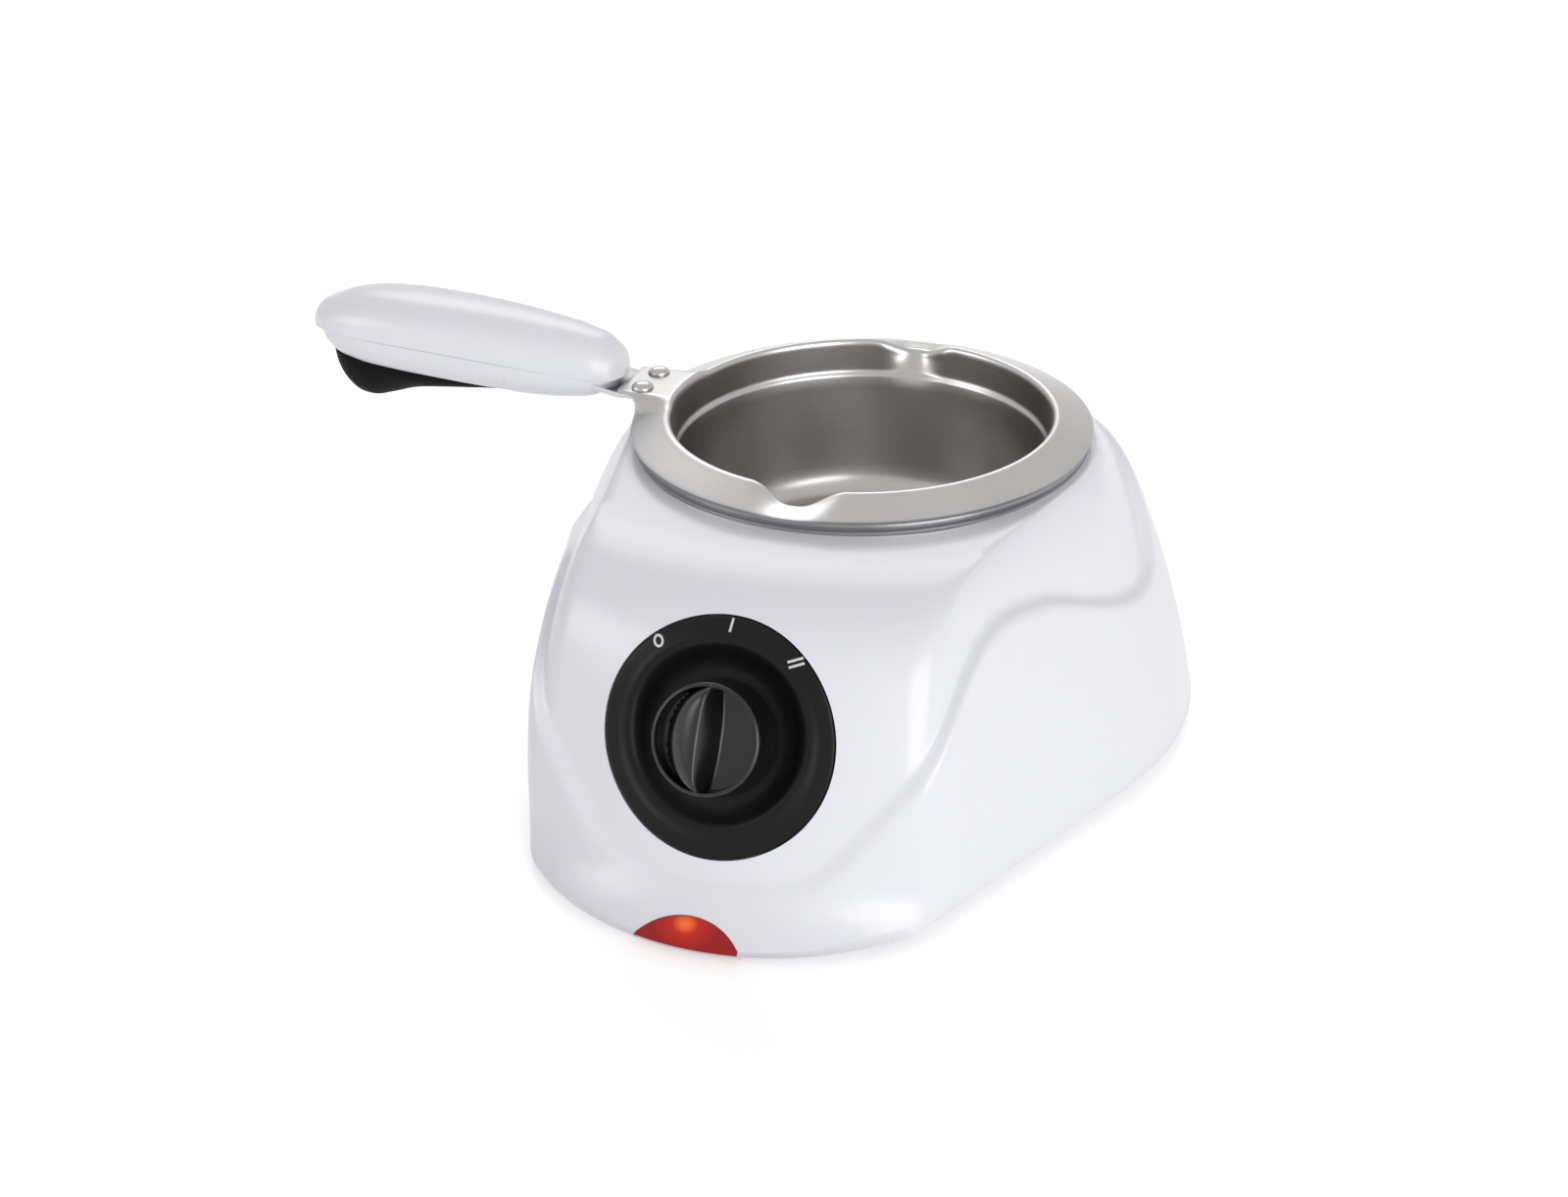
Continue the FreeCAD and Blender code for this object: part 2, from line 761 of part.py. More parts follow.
def dial_plate(outside):
    """Fixed black dish: an outer ring that follows the panel, a concave well and a hole for the switch nut."""
    ring = dial_radius - dial_ring_width
    back = -(dish_depth + dial_thickness)
    hole = switch_nut_flats / 2 / math.cos(math.pi / 6) + dial_hole_clearance
    brim = dish_radius + (ring - dish_radius) * dish_swell
    blank = on_dial(dial_cylinder(dial_radius, back, dial_radius)).common(outside)
    well = lathe_edges([
        line((0, -dish_depth), (dish_radius, -dish_depth)),
        arc((dish_radius, -dish_depth), (brim, -dish_depth * dish_swell), (ring, 0)),
        line((ring, 0), (ring + dish_depth, dish_depth)),
        line((ring + dish_depth, dish_depth), (0, dish_depth)),
        line((0, dish_depth), (0, -dish_depth)),
    ])
    return blank.cut(on_dial(well)).cut(on_dial(dial_cylinder(hole, back - 1, 0)))


knob_low = -dish_depth + knob_gap
pocket_low = knob_height - knob_pocket_depth


def blade():
    """Grip ridge across the knob: a steep face on one side of its crest and a long swelling one on the other."""
    low, high = pocket_low - 0.5, knob_height + blade_height
    steep, soft = (blade_steep_foot, low), (-blade_soft_foot, low)
    swell = (-blade_soft_foot * blade_swell, low + (high - low) * blade_swell)
    outline = Part.Face(Part.Wire([line(soft, steep), line(steep, (0, high)), arc((0, high), swell, soft)]))
    outline.translate(Vector(0, -knob_top_radius, 0))
    ridge = outline.extrude(Vector(0, 2 * knob_top_radius, 0))
    return ridge.common(Part.makeCylinder(knob_top_radius - 0.2, high, Vector(0, 0, low)))


def shaft_solid(radius, low, high, flat):
    shaft = Part.makeCylinder(radius, high - low, Vector(0, 0, low))
    return shaft.cut(block(-radius, radius, flat, 2 * radius, low - 1, high + 1))


shaft_high = pocket_low - 1.0


def knob():
    """Round grip with a rounded rim, two pockets and a ridge that points at a mark."""
    brow = knob_round * (1 - math.sqrt(0.5))
    shoulder = (knob_top_radius, knob_height - knob_round)
    crown = (knob_top_radius - knob_round, knob_height)
    puck = lathe_edges([
        line((0, knob_low), (knob_base_radius, knob_low)),
        line((knob_base_radius, knob_low), shoulder),
        arc(shoulder, (knob_top_radius - brow, knob_height - brow), crown),
        line(crown, (0, knob_height)),
        line((0, knob_height), (0, knob_low)),
    ])
    floor_radius = knob_pocket_radius - knob_round
    pocket = Part.makeCone(floor_radius, knob_pocket_radius, knob_pocket_depth, Vector(0, 0, pocket_low))
    body = join([puck.cut(pocket), blade()])
    return body.cut(shaft_solid(shaft_radius, knob_low - 1, shaft_high, shaft_flat))


def switch_shaft():
    low = shaft_high - shaft_length
    round_part = Part.makeCylinder(shaft_radius, switch_front - low, Vector(0, 0, low))
    return join([round_part, shaft_solid(shaft_radius, switch_front - 1, shaft_high, shaft_flat)])


switch_back = switch_front - switch_depth


def rotary_switch():
    half_x, half_y = switch_width / 2, switch_length / 2
    body = block(-half_x, half_x, -half_y, half_y, switch_back, switch_front)
    body = body.makeFillet(1.5, [e for e in body.Edges if abs(e.BoundBox.ZLength - switch_depth) < 0.01])
    neck = dial_cylinder(bush_radius, switch_front, pocket_floor + switch_nut_thickness)
    width, thickness, length = tab_terminal
    blades = []
    for x in (-6.5, 6.5):
        for y in (-8.0, 8.0):
            blades.append(block(x - thickness / 2, x + thickness / 2, y - width / 2, y + width / 2,
                                switch_back - length, switch_back))
    bore = dial_cylinder(shaft_radius + shaft_clearance, shaft_high - shaft_length - 0.3, 5)
    return join([body, neck] + blades).cut(bore)


def switch_nut():
    nut = hexagon(switch_nut_flats, switch_nut_thickness, Vector(0, 0, pocket_floor))
    return nut.cut(dial_cylinder(bush_radius + fit_clearance, -20, 5))


def neon_lamp():
    """Small glass glow lamp lying across behind the lens."""
    half = lamp_length / 2
    tube = rod(lamp_radius, (-half + lamp_radius, -lamp_reach, lamp_height), (half, -lamp_reach, lamp_height))
    tip = Part.makeSphere(lamp_radius, Vector(-half + lamp_radius, -lamp_reach, lamp_height))
    return join([tube, tip])


def lamp_holder():
    """Clip on the base plate that carries the lamp's end."""
    half = lamp_length / 2
    back = lamp_stand_depth / 2 - lamp_reach
    stand = block(half - 4, half + 3, back - lamp_stand_depth, back, cover_high, lamp_height + lamp_radius + 0.9)
    socket = rod(lamp_radius + fit_clearance, (0, -lamp_reach, lamp_height), (half, -lamp_reach, lamp_height))
    return stand.cut(socket)


def terminal_block():
    width, depth, height = terminal_block_size
    y = terminal_block_y
    body = block(-width / 2, width / 2, y - depth / 2, y + depth / 2, cover_high, cover_high + height)
    for k in (-1, 0, 1):
        x = k * terminal_pitch
        body = body.cut(rod(2.2, (x, y - depth, cover_high + 5), (x, y + depth, cover_high + 5)))
        for row in (-1, 1):
            body = body.cut(rod(2.0, (x, y + row * 4.5, cover_high + 5), (x, y + row * 4.5, BIG)))
    return body


def cord_gland():
    """Bush through the rear wall that the mains lead enters by."""
    seat = gland_seat()
    inside = seat - wall - skirt_proud - gland_inside
    bush = rod(gland_radius, (0, inside, gland_height), (0, seat + gland_flange, gland_height))
    flange = rod(gland_flange_radius, (0, seat, gland_height), (0, seat + gland_flange, gland_height))
    return join([bush, flange]).cut(rod(gland_bore, (0, 0, gland_height), (0, BIG, gland_height)))


def cord_clamp():
    width, depth, height = clamp_bar_size
    bar = block(-width / 2, width / 2, clamp_bar_y - depth / 2, clamp_bar_y + depth / 2, gland_height, gland_height + height)
    bar = bar.cut(rod(cord_channel_radius, (0, clamp_bar_y - depth, gland_height), (0, clamp_bar_y + depth, gland_height)))
    for side in (-1, 1):
        x = side * clamp_post_spacing / 2
        bar = bar.cut(rod(cover_screw_radius, (x, clamp_bar_y, 0), (x, clamp_bar_y, BIG)))
    return bar


def clamp_screws():
    single = screw(clamp_screw_length, 0.0)
    single.rotate(Vector(), Vector(1, 0, 0), 180)
    top = gland_height + clamp_bar_size[2]
    return Part.makeCompound([placed(single, side * clamp_post_spacing / 2, clamp_bar_y, top) for side in (-1, 1)])


crest_height = rim_height + pot_crest_rise
flange_slope = pot_crest_rise / (pot_rim_radius - pot_crest_radius)
flange_drop = 1.0 / math.cos(math.atan(flange_slope))


def flange_top(radius):
    return rim_height + (pot_rim_radius - radius) * flange_slope


def pot_cup():
    """Turned form of the pot: sloping flange, rounded crest, stepped wall and flat floor."""
    crest_in = pot_crest_radius - 1.1
    step_z = crest_height - pot_step_drop
    step_r = crest_in - 0.4
    wall_r = step_r - pot_step
    corner_z = pot_floor_height + pot_corner + 0.5
    bend = pot_corner * 0.29
    fold = pot_crest_radius + 1.2
    floor_r = pot_floor_radius - pot_corner
    t = pot_wall
    return lathe_edges([
        line((0, pot_floor_height), (floor_r, pot_floor_height)),
        arc((floor_r, pot_floor_height), (pot_floor_radius - bend, pot_floor_height + bend), (pot_floor_radius, corner_z)),
        line((pot_floor_radius, corner_z), (wall_r, step_z - 1.0)),
        line((wall_r, step_z - 1.0), (step_r, step_z)),
        line((step_r, step_z), (crest_in, crest_height - 1.1)),
        arc((crest_in, crest_height - 1.1), (pot_crest_radius - 0.4, crest_height - 0.1), (fold, flange_top(fold))),
        line((fold, flange_top(fold)), (pot_rim_radius, rim_height)),
        line((pot_rim_radius, rim_height), (pot_rim_radius - 0.35, rim_height - flange_drop + 0.13)),
        line((pot_rim_radius - 0.35, rim_height - flange_drop + 0.13), (fold + 0.3, flange_top(fold + 0.3) - flange_drop)),
        arc((fold + 0.3, flange_top(fold + 0.3) - flange_drop), (crest_in + t + 0.35, crest_height - 1.7), (crest_in + t, crest_height - 2.8)),
        line((crest_in + t, crest_height - 2.8), (step_r + t, step_z - 0.4)),
        line((step_r + t, step_z - 0.4), (wall_r + t, step_z - 1.4)),
        line((wall_r + t, step_z - 1.4), (pot_floor_radius + t, corner_z)),
        arc((pot_floor_radius + t, corner_z), (pot_floor_radius + t - bend - 0.4, pot_floor_height + bend - 0.9), (floor_r, pot_floor_height - t)),
        line((floor_r, pot_floor_height - t), (0, pot_floor_height - t)),
        line((0, pot_floor_height - t), (0, pot_floor_height)),
    ])


def spout(side):
    """Trough across the flange and the cutter that opens it; side is -1 at the front, 1 at the back."""
    floor = crest_height - spout_depth
    axis_z = floor + spout_radius
    start, end = (0, side * (pot_crest_radius - 3), axis_z), (0, side * (pot_rim_radius + 1), axis_z)
    bore = rod(spout_radius, start, end)
    sheet = rod(spout_radius + 1.0, start, end).cut(bore)
    inner = pot_crest_radius - 1.3
    band = lathe([
        (inner, floor - 2), (pot_rim_radius, floor - 2), (pot_rim_radius, rim_height),
        (pot_crest_radius + 1.2, flange_top(pot_crest_radius + 1.2)), (inner, crest_height),
    ])
    return sheet.common(band), bore


def tab_outline():
    """Plan of the riveting tab with concave shoulders that run into the flange."""
    shoulder = tab_half_width + tab_fillet
    root = -math.sqrt((pot_rim_radius - 1) ** 2 - shoulder**2)
    neck = root - tab_fillet * 0.72
    end = -tab_end
    bend = Vector(root - tab_fillet * 0.2, -tab_half_width - tab_fillet * 0.36, 0)
    up = Vector(bend.x, -bend.y, 0)
    corners = [Vector(-pot_crest_radius + 4, -shoulder - 4, 0), Vector(root + 1.5, -shoulder - 2, 0), Vector(neck, -tab_half_width, 0),
               Vector(end, -tab_half_width, 0), Vector(end, tab_half_width, 0), Vector(neck, tab_half_width, 0),
               Vector(root + 1.5, shoulder + 2, 0), Vector(-pot_crest_radius + 4, shoulder + 4, 0)]
    seg = lambda a, b: Part.LineSegment(a, b).toShape()
    return Part.Wire([
        seg(corners[0], corners[1]), Part.Arc(corners[1], bend, corners[2]).toShape(), seg(corners[2], corners[3]),
        seg(corners[3], corners[4]), seg(corners[4], corners[5]), Part.Arc(corners[5], up, corners[6]).toShape(),
        seg(corners[6], corners[7]), seg(corners[7], corners[0]),
    ])


tab_top = crest_height + tab_rise
tab_low = tab_top - tab_thickness


def pot():
    cup = pot_cup()
    troughs = []
    for side in (-1, 1):
        trough, bore = spout(side)
        cup = cup.cut(bore)
        troughs.append(trough)
    cup = join([cup] + troughs)
    plan = Part.Face(tab_outline())
    inside = Part.makeCylinder(pot_crest_radius - 1.1, BIG, Vector(0, 0, 0))
    strip = block(-BIG, -pot_crest_radius - 1.6, -tab_half_width, tab_half_width, rim_height - 4, tab_low)
    cup = cup.cut(strip)
    plate = plan.extrude(Vector(0, 0, tab_thickness))
    plate.translate(Vector(0, 0, tab_low))
    shoulders = plan.extrude(Vector(0, 0, BIG))
    shoulders.translate(Vector(0, 0, rim_height - flange_drop))
    above_flange = lathe([
        (0, crest_height - 0.5), (pot_crest_radius, crest_height - 0.5), (pot_crest_radius + 1.2, flange_top(pot_crest_radius + 1.2) - 0.4),
        (pot_rim_radius, rim_height - 0.4), (pot_rim_radius, tab_top), (0, tab_top),
    ])
    shoulders = shoulders.common(above_flange).cut(strip)
    body = join([cup, plate.cut(inside), shoulders.cut(inside)])
    for side in (-1, 1):
        y = side * rivet_spacing / 2
        body = body.cut(rod(rivet_radius, (-rivet_x, y, 0), (-rivet_x, y, BIG)))
    return body


seam_profile = (
    (tang_bend, 83.2),
    (tang_crank, 87.5),
    (tang_bend + seam_crest_run, 91.6),
    (handle_end, 90.4),
)


def seam_at(x):
    """Height of the handle's seam at a distance out from the pot's axis."""
    low, high = 0.0, 1.0
    for step in range(40):
        middle = (low + high) / 2
        if bezier(seam_profile, middle)[0] < x:
            low = middle
        else:
            high = middle
    return bezier(seam_profile, low)[1]


handle_stations = (0.0, 0.012, 0.045, 0.13, 0.26, 0.41, 0.57, 0.72, 0.84, 0.93, 0.98, 1.0)
width_shares = (0.12, 0.36, 0.56, 0.75, 0.88, 0.96, 1.0, 0.985, 0.89, 0.68, 0.4, 0.14)
rise_shares = (0.2, 0.5, 0.76, 0.93, 0.98, 1.0, 0.99, 0.96, 0.86, 0.66, 0.42, 0.16)
lower_shares = (0.12, 0.3, 0.5, 0.72, 0.88, 0.97, 1.0, 0.98, 0.9, 0.7, 0.42, 0.14)


def half_oval(x, half_width, rise, sense, offset):
    """Half of a full oval standing on the seam at x; sense is 1 above it and -1 below it."""
    base = seam_at(x) + sense * offset
    points = []
    for k in range(9):
        angle = math.pi * k / 8
        c, s = math.cos(angle), math.sin(angle)
        y = half_width * math.copysign(abs(c) ** 0.85, c)
        points.append(Vector(-x, y, base + sense * rise * s**0.85))
    crown = Part.BSplineCurve()
    crown.interpolate(points)
    return Part.Wire([crown.toShape(), Part.LineSegment(points[-1], points[0]).toShape()])


def handle_loft(start, end, heights, rise, sense, inset=0.0):
    """Upper (sense 1) or lower (sense -1) half of the handle; an inset gives its hollow, which passes the seam."""
    length = end - start - 2 * inset
    passing = 1.0 if inset else 0.0
    sections = []
    for share, width, height in zip(handle_stations, width_shares, heights):
        half_width = max(0.8, width * handle_width / 2 - inset)
        lift = max(0.8, height * rise - inset) + passing
        x = start + inset + share * length
        sections.append(half_oval(x, half_width, lift, sense, seam_gap / 2 - passing))
    return Part.makeLoft(sections, True, False)


def tang():
    """Steel strip: flat under the tab, then bent up along the handle's seam."""
    low, half = tab_low - tang_thickness, tang_width / 2
    inner, outer = seam_at(tang_crank), seam_at(tang_end)
    top = [(-tang_start, tab_low), (-tang_bend, tab_low), (-tang_crank, inner), (-tang_end, outer)]
    bottom = [(x, z - tang_thickness) for x, z in reversed(top)]
    corners = [Vector(x, -half, z) for x, z in top + bottom]
    strip = Part.Face(Part.makePolygon(corners + corners[:1])).extrude(Vector(0, tang_width, 0))
    for side in (-1, 1):
        y = side * rivet_spacing / 2
        strip = strip.cut(rod(rivet_radius + fit_clearance, (-rivet_x, y, 0), (-rivet_x, y, BIG)))
    x = handle_screw_x[0]
    return strip.cut(rod(screw_boss_radius + 0.3, (-x, 0, 0), (-x, 0, BIG)))


def pot_rivets():
    rivets = []
    for side in (-1, 1):
        y = side * rivet_spacing / 2
        shank = rod(rivet_radius, (-rivet_x, y, tab_low - tang_thickness - 0.3), (-rivet_x, y, tab_top))
        ball = (rivet_head_radius**2 + rivet_head_height**2) / (2 * rivet_head_height)
        dome = Part.makeSphere(ball, Vector(-rivet_x, y, tab_top + rivet_head_height - ball))
        dome = dome.common(block(-BIG, 0, -BIG, BIG, tab_top, BIG))
        foot = rod(rivet_head_radius, (-rivet_x, y, tab_low - tang_thickness - 0.9), (-rivet_x, y, tab_low - tang_thickness))
        rivets.append(join([shank, dome, foot]))
    return Part.makeCompound(rivets)


def tang_slot(grow=0.15):
    """Room for the tang between the shells, with a pillar left where the front screw passes it."""
    half = tang_width / 2 + grow
    end = tang_end + 2 * grow
    inner, outer = seam_at(tang_crank) + grow, seam_at(end) + grow
    flat = tab_low + grow
    top = [(-tang_start, flat), (-tang_bend, flat), (-tang_crank, inner), (-end, outer)]
    bottom = [(x, z - tang_thickness - 2 * grow) for x, z in reversed(top)]
    corners = [Vector(x, -half, z) for x, z in top + bottom]
    slot = Part.Face(Part.makePolygon(corners + corners[:1])).extrude(Vector(0, 2 * half, 0))
    x = handle_screw_x[0]
    return slot.cut(rod(screw_boss_radius, (-x, 0, 0), (-x, 0, BIG)))


def handle_upper_shell():
    outer = handle_loft(handle_start, handle_end, rise_shares, handle_rise, 1)
    hollow = handle_loft(handle_start, handle_end, rise_shares, handle_rise, 1, handle_wall)
    shell = outer.cut(hollow)
    bosses = []
    for x in handle_screw_x:
        low = seam_at(x) + seam_gap / 2
        bosses.append(rod(handle_boss_radius, (-x, 0, low), (-x, 0, low + handle_rise)).common(outer))
    shell = join([shell] + bosses)
    for x in handle_screw_x:
        shell = shell.cut(rod(cover_screw_radius, (-x, 0, 0), (-x, 0, seam_at(x) + 7)))
    return shell.cut(tang_slot())


def grip_seat():
    """Everything below the flat seat of the soft insert under the handle."""
    front, rear = seam_at(grip_start) - seat_drop_front, seam_at(grip_end) - seat_drop_rear
    start = -grip_start + 0.2
    corners = [Vector(start, 0, front), Vector(start, 0, 0), Vector(-BIG, 0, 0), Vector(-BIG, 0, rear),
               Vector(-grip_end, 0, rear)]
    face = Part.Face(Part.makePolygon(corners + corners[:1]))
    face.translate(Vector(0, -BIG / 2, 0))
    return face.extrude(Vector(0, BIG, 0))


def handle_lower_shell():
    outer = handle_loft(lower_start, lower_end, lower_shares, lower_depth, -1)
    hollow = handle_loft(lower_start, lower_end, lower_shares, lower_depth, -1, handle_wall)
    floor = grip_seat().copy()
    floor.translate(Vector(-handle_wall, 0, handle_wall))
    shell = outer.cut(hollow)
    web = outer.common(floor)
    bosses = [rod(screw_boss_radius, (-x, 0, 0), (-x, 0, seam_at(x) - seam_gap)).common(outer) for x in handle_screw_x]
    shell = join([shell, web] + bosses).cut(grip_seat())
    for x in handle_screw_x:
        seat = screw_seat(x)
        shell = shell.cut(rod(cover_screw_radius, (-x, 0, 0), (-x, 0, BIG)))
        shell = shell.cut(rod(screw_head_radius + 0.2, (-x, 0, 0), (-x, 0, seat)))
    return shell.cut(tang_slot())


def screw_seat(x):
    return seam_at(x) - handle_screw_depth


def handle_screws():
    screws = []
    for x in handle_screw_x:
        screws.append(placed(screw(handle_screw_length, 0.0), -x, 0, screw_seat(x)))
    return Part.makeCompound(screws)


grip_stations = (0.0, 0.06, 0.2, 0.38, 0.56, 0.7, 0.8, 0.88, 0.95, 1.0)
grip_widths = (0.15, 0.5, 0.78, 0.93, 1.0, 1.0, 0.97, 0.86, 0.6, 0.2)
grip_depths = (0.1, 0.2, 0.3, 0.44, 0.62, 0.86, 1.0, 0.95, 0.66, 0.2)


def handle_grip():
    """Soft insert under the handle with a swelling that stops the fingers."""
    bulge = grip_depth - seat_drop_rear
    sections = []
    for share, width, depth in zip(grip_stations, grip_widths, grip_depths):
        x = grip_start + 0.6 + share * (grip_end - grip_start - 0.8)
        slope = (x - grip_start) / (grip_end - grip_start)
        front, rear = seam_at(grip_start) - seat_drop_front, seam_at(grip_end) - seat_drop_rear
        top = front + (rear - front) * slope - 0.05
        points = []
        for k in range(7):
            angle = math.pi * k / 6
            points.append(Vector(-x, width * grip_half_width * math.cos(angle), top - depth * bulge * math.sin(angle)))
        crown = Part.BSplineCurve()
        crown.interpolate(points)
        sections.append(Part.Wire([crown.toShape(), Part.LineSegment(points[-1], points[0]).toShape()]))
    return Part.makeLoft(sections, True, False)


def build():
    os.makedirs("parts", exist_ok=True)
    outside = housing_outside()
    save("housing", housing(outside))
    save("lamp_lens", lens(outside))
    save("bottom_cover", bottom_cover())
    save("feet", feet())
    save("cover_screws", cover_screws())
    save("well_collar", well_collar())
    save("heating_well", heating_well())
    save("heater_plate", heater_plate())
    save("heating_element", heating_element())
    save("mica_insulator", mica_insulator())
    save("heater_clamp", heater_clamp())
    save("heater_nut", heater_nut())
    save("thermostat", thermostat())
    save("thermal_fuse", thermal_fuse())
    save("fuse_clip", fuse_clip())
    save("dial_plate", dial_plate(outside))
    save("knob", on_dial(knob()))
    save("switch_shaft", on_dial(switch_shaft()))
    save("rotary_switch", on_dial(rotary_switch()))
    save("switch_nut", on_dial(switch_nut()))
    save("neon_lamp", neon_lamp())
    save("lamp_holder", lamp_holder())
    save("terminal_block", terminal_block())
    save("cord_gland", cord_gland())
    save("cord_clamp", cord_clamp())
    save("clamp_screws", clamp_screws())
    save("pot", pot())
    save("handle_tang", tang())
    save("pot_rivets", pot_rivets())
    save("handle_upper_shell", handle_upper_shell())
    save("handle_lower_shell", handle_lower_shell())
    save("handle_grip", handle_grip())
    save("handle_screws", handle_screws())


build()
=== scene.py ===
"""Electric chocolate fondue set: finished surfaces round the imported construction."""

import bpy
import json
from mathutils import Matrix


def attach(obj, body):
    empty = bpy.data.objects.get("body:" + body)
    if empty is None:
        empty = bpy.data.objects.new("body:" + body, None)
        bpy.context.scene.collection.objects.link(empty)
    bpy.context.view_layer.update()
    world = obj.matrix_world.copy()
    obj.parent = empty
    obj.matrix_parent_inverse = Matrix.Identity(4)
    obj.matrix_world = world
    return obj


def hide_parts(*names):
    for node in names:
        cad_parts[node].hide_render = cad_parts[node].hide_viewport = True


bl_info = {
    "name": "Chocolate fondue set",
    "version": (1, 0, 0),
    "blender": (4, 5, 0),
    "location": "View3D > Sidebar > Fondue",
    "description": "Builds the finished surfaces of an electric chocolate fondue set",
    "category": "Object",
}

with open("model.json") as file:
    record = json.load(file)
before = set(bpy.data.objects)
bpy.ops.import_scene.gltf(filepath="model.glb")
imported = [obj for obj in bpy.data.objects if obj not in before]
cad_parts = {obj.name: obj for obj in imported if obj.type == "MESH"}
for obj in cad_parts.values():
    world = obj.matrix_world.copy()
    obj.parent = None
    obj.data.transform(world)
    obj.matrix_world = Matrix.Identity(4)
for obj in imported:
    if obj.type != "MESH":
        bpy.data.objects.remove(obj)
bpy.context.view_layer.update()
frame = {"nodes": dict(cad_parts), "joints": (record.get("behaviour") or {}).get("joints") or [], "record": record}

import json
import math
from contextlib import contextmanager

import bpy
import numpy as np
from bpy.props import FloatProperty, FloatVectorProperty, PointerProperty
from mathutils import Matrix, Vector

MM = 0.001
BISECTIONS = 30


def colour_setting(name, description, *value):
    value += (1.0,)
    return FloatVectorProperty(name=name, description=description, subtype="COLOR", size=4, default=value)


def length_setting(name, description, value):
    return FloatProperty(name=name, description=description, unit="LENGTH", default=value, min=0.0)


def angle_setting(name, description, degrees):
    return FloatProperty(name=name, description=description, subtype="ANGLE", default=math.radians(degrees))


class FondueFinish(bpy.types.PropertyGroup):
    white: colour_setting("White plastic", "Colour of housing and handle shells", 0.80, 0.80, 0.855)
    black: colour_setting("Black plastic", "Colour of dial, knob and grip", 0.006, 0.006, 0.006)
    metal: colour_setting("Aluminium", "Colour of the pot", 0.43, 0.42, 0.415)
    lens: colour_setting("Lens", "Colour of the power lens", 0.3, 0.003, 0.004)
    glow: colour_setting("Glow", "Colour of the lamp behind the lens", 1.0, 0.28, 0.03)
    skin_grain: length_setting("Skin grain", "Depth of the moulded skin's fine grain", 0.0000025)


class FondueSizes(bpy.types.PropertyGroup):
    mark_radius: length_setting("Mark radius", "Distance of the dial's marks from its centre", 0.026)
    mark_length: length_setting("Mark length", "Length of the dial's marks", 0.0032)


class FondueView(bpy.types.PropertyGroup):
    azimuth: angle_setting("Azimuth", "Camera's bearing from the front, towards +X", 20.4)
    elevation: angle_setting("Elevation", "Camera's height above the table's plane", 28.44)
    roll: angle_setting("Roll", "Camera's turn about its own axis", -1.4)
    distance: length_setting("Distance", "From the camera to the point it aims at", 0.54483)
    aim: FloatVectorProperty(name="Aim", description="Point that the camera aims at",
                             unit="LENGTH", size=3, default=(-0.02029, -0.00739, 0.02489))
    lens: FloatProperty(name="Focal length", description="Camera's focal length in millimetres",
                        default=45.0)


def settings():
    scene = bpy.context.scene
    return scene.fondue_sizes, scene.fondue_finish, scene.fondue_view


# Form of the housing in millimetres: profiles as (reach, height), from the mouth down
FOOT_HEIGHT = 2.5
MOUTH_HEIGHT = 74.0
MOUTH_RADIUS = 58.6
SIDE_PROFILE = ((61.5, 74.2), (70.5, 69.5), (85.0, 25.0), (88.5, 2.5))
NOSE_PROFILE = ((64.0, 74.2), (104.0, 74.2), (104.0, 66.0), (124.0, 2.5))
NOSE_RADIUS = (66.0, 1.7, 125.0)
CORNER_RADIUS = (24.0, -0.366, 11.0)
FLANK_BEARING = (65.2, 0.15)
WALL = 2.2
SEAT_INSET = 5.6
SEAT_HEIGHT = 4.7

# Skirt that stands proud below a wavy edge, seen from the side as (place along Y, height)
SKIRT_PROUD = 3.0
SKIRT_NOSE_PROUD = 1.8
FLARE = 8.1
FLARE_TOP = 14.0
WAVE_TURNS = (
    (-145.1, 11.0), (-124.0, 11.5), (-69.0, 61.5), (-7.0, 44.5), (34.0, 66.5), (61.25, 67.0), (109.6, 67.0),
)
WAVE_SHARES = (
    (),
    ((0.11, 0.05), (0.22, 0.27), (0.33, 0.5), (0.455, 0.67), (0.6, 0.81), (0.78, 0.94)),
    ((0.19, 0.07), (0.39, 0.28), (0.58, 0.62), (0.79, 0.91)),
    ((0.27, 0.11), (0.49, 0.47), (0.71, 0.84)),
    (),
    (),
)

# The ledge's section as (share of the skirt's step, height about the edge)
LEDGE = (
    (1.0, -2.4), (0.993, -1.7), (0.96, -1.0), (0.9, -0.5), (0.81, -0.12), (0.69, 0.16),
    (0.55, 0.4), (0.4, 0.62), (0.26, 0.88), (0.14, 1.22), (0.06, 1.65), (0.015, 2.15), (0.0, 2.7),
)

# Columns of the housing's right half: nose arc, corner, flank and round rear
STRETCHES = (26, 18, 26, 50)
COLUMN_KIND = np.append(np.repeat(np.arange(4), STRETCHES), 3)
COLUMN_SHARE = np.append(np.concatenate([np.arange(count) / count for count in STRETCHES]), 1.0)

# Rings of the housing: the foot's edge as (inset, lift), the lip as (share of the brim, drop), then counts
FOOT_EDGE = ((0.8, 0.0), (0.25, 0.2), (0.0, 0.75))
LIP = ((0.7, 0.0), (0.35, 0.0), (0.12, 0.04), (0.03, 0.25), (0.0, 0.7), (0.0, WALL))
SKIRT_RINGS = 26
BELL_RINGS = 44
BELL_CROWDING = 2.2
INNER_RINGS = 14
INNER_CROWDING = 1.6

# The ledge softens towards the nose, between two places ahead of the pot's axis
SOFT_LEDGE = (98.0, 122.0)
SOFT_LEDGE_GAIN = 1.1

# Search for the height at which the skirt meets the wavy edge
WAVE_SEARCH_START = 1.5
WAVE_SEARCH_STEPS = 200


def bezier(poles, share):
    rest = 1 - share
    weights = (rest**3, 3 * share * rest**2, 3 * share**2 * rest, share**3)
    return tuple(sum(w * pole[k] for w, pole in zip(weights, poles)) for k in (0, 1))


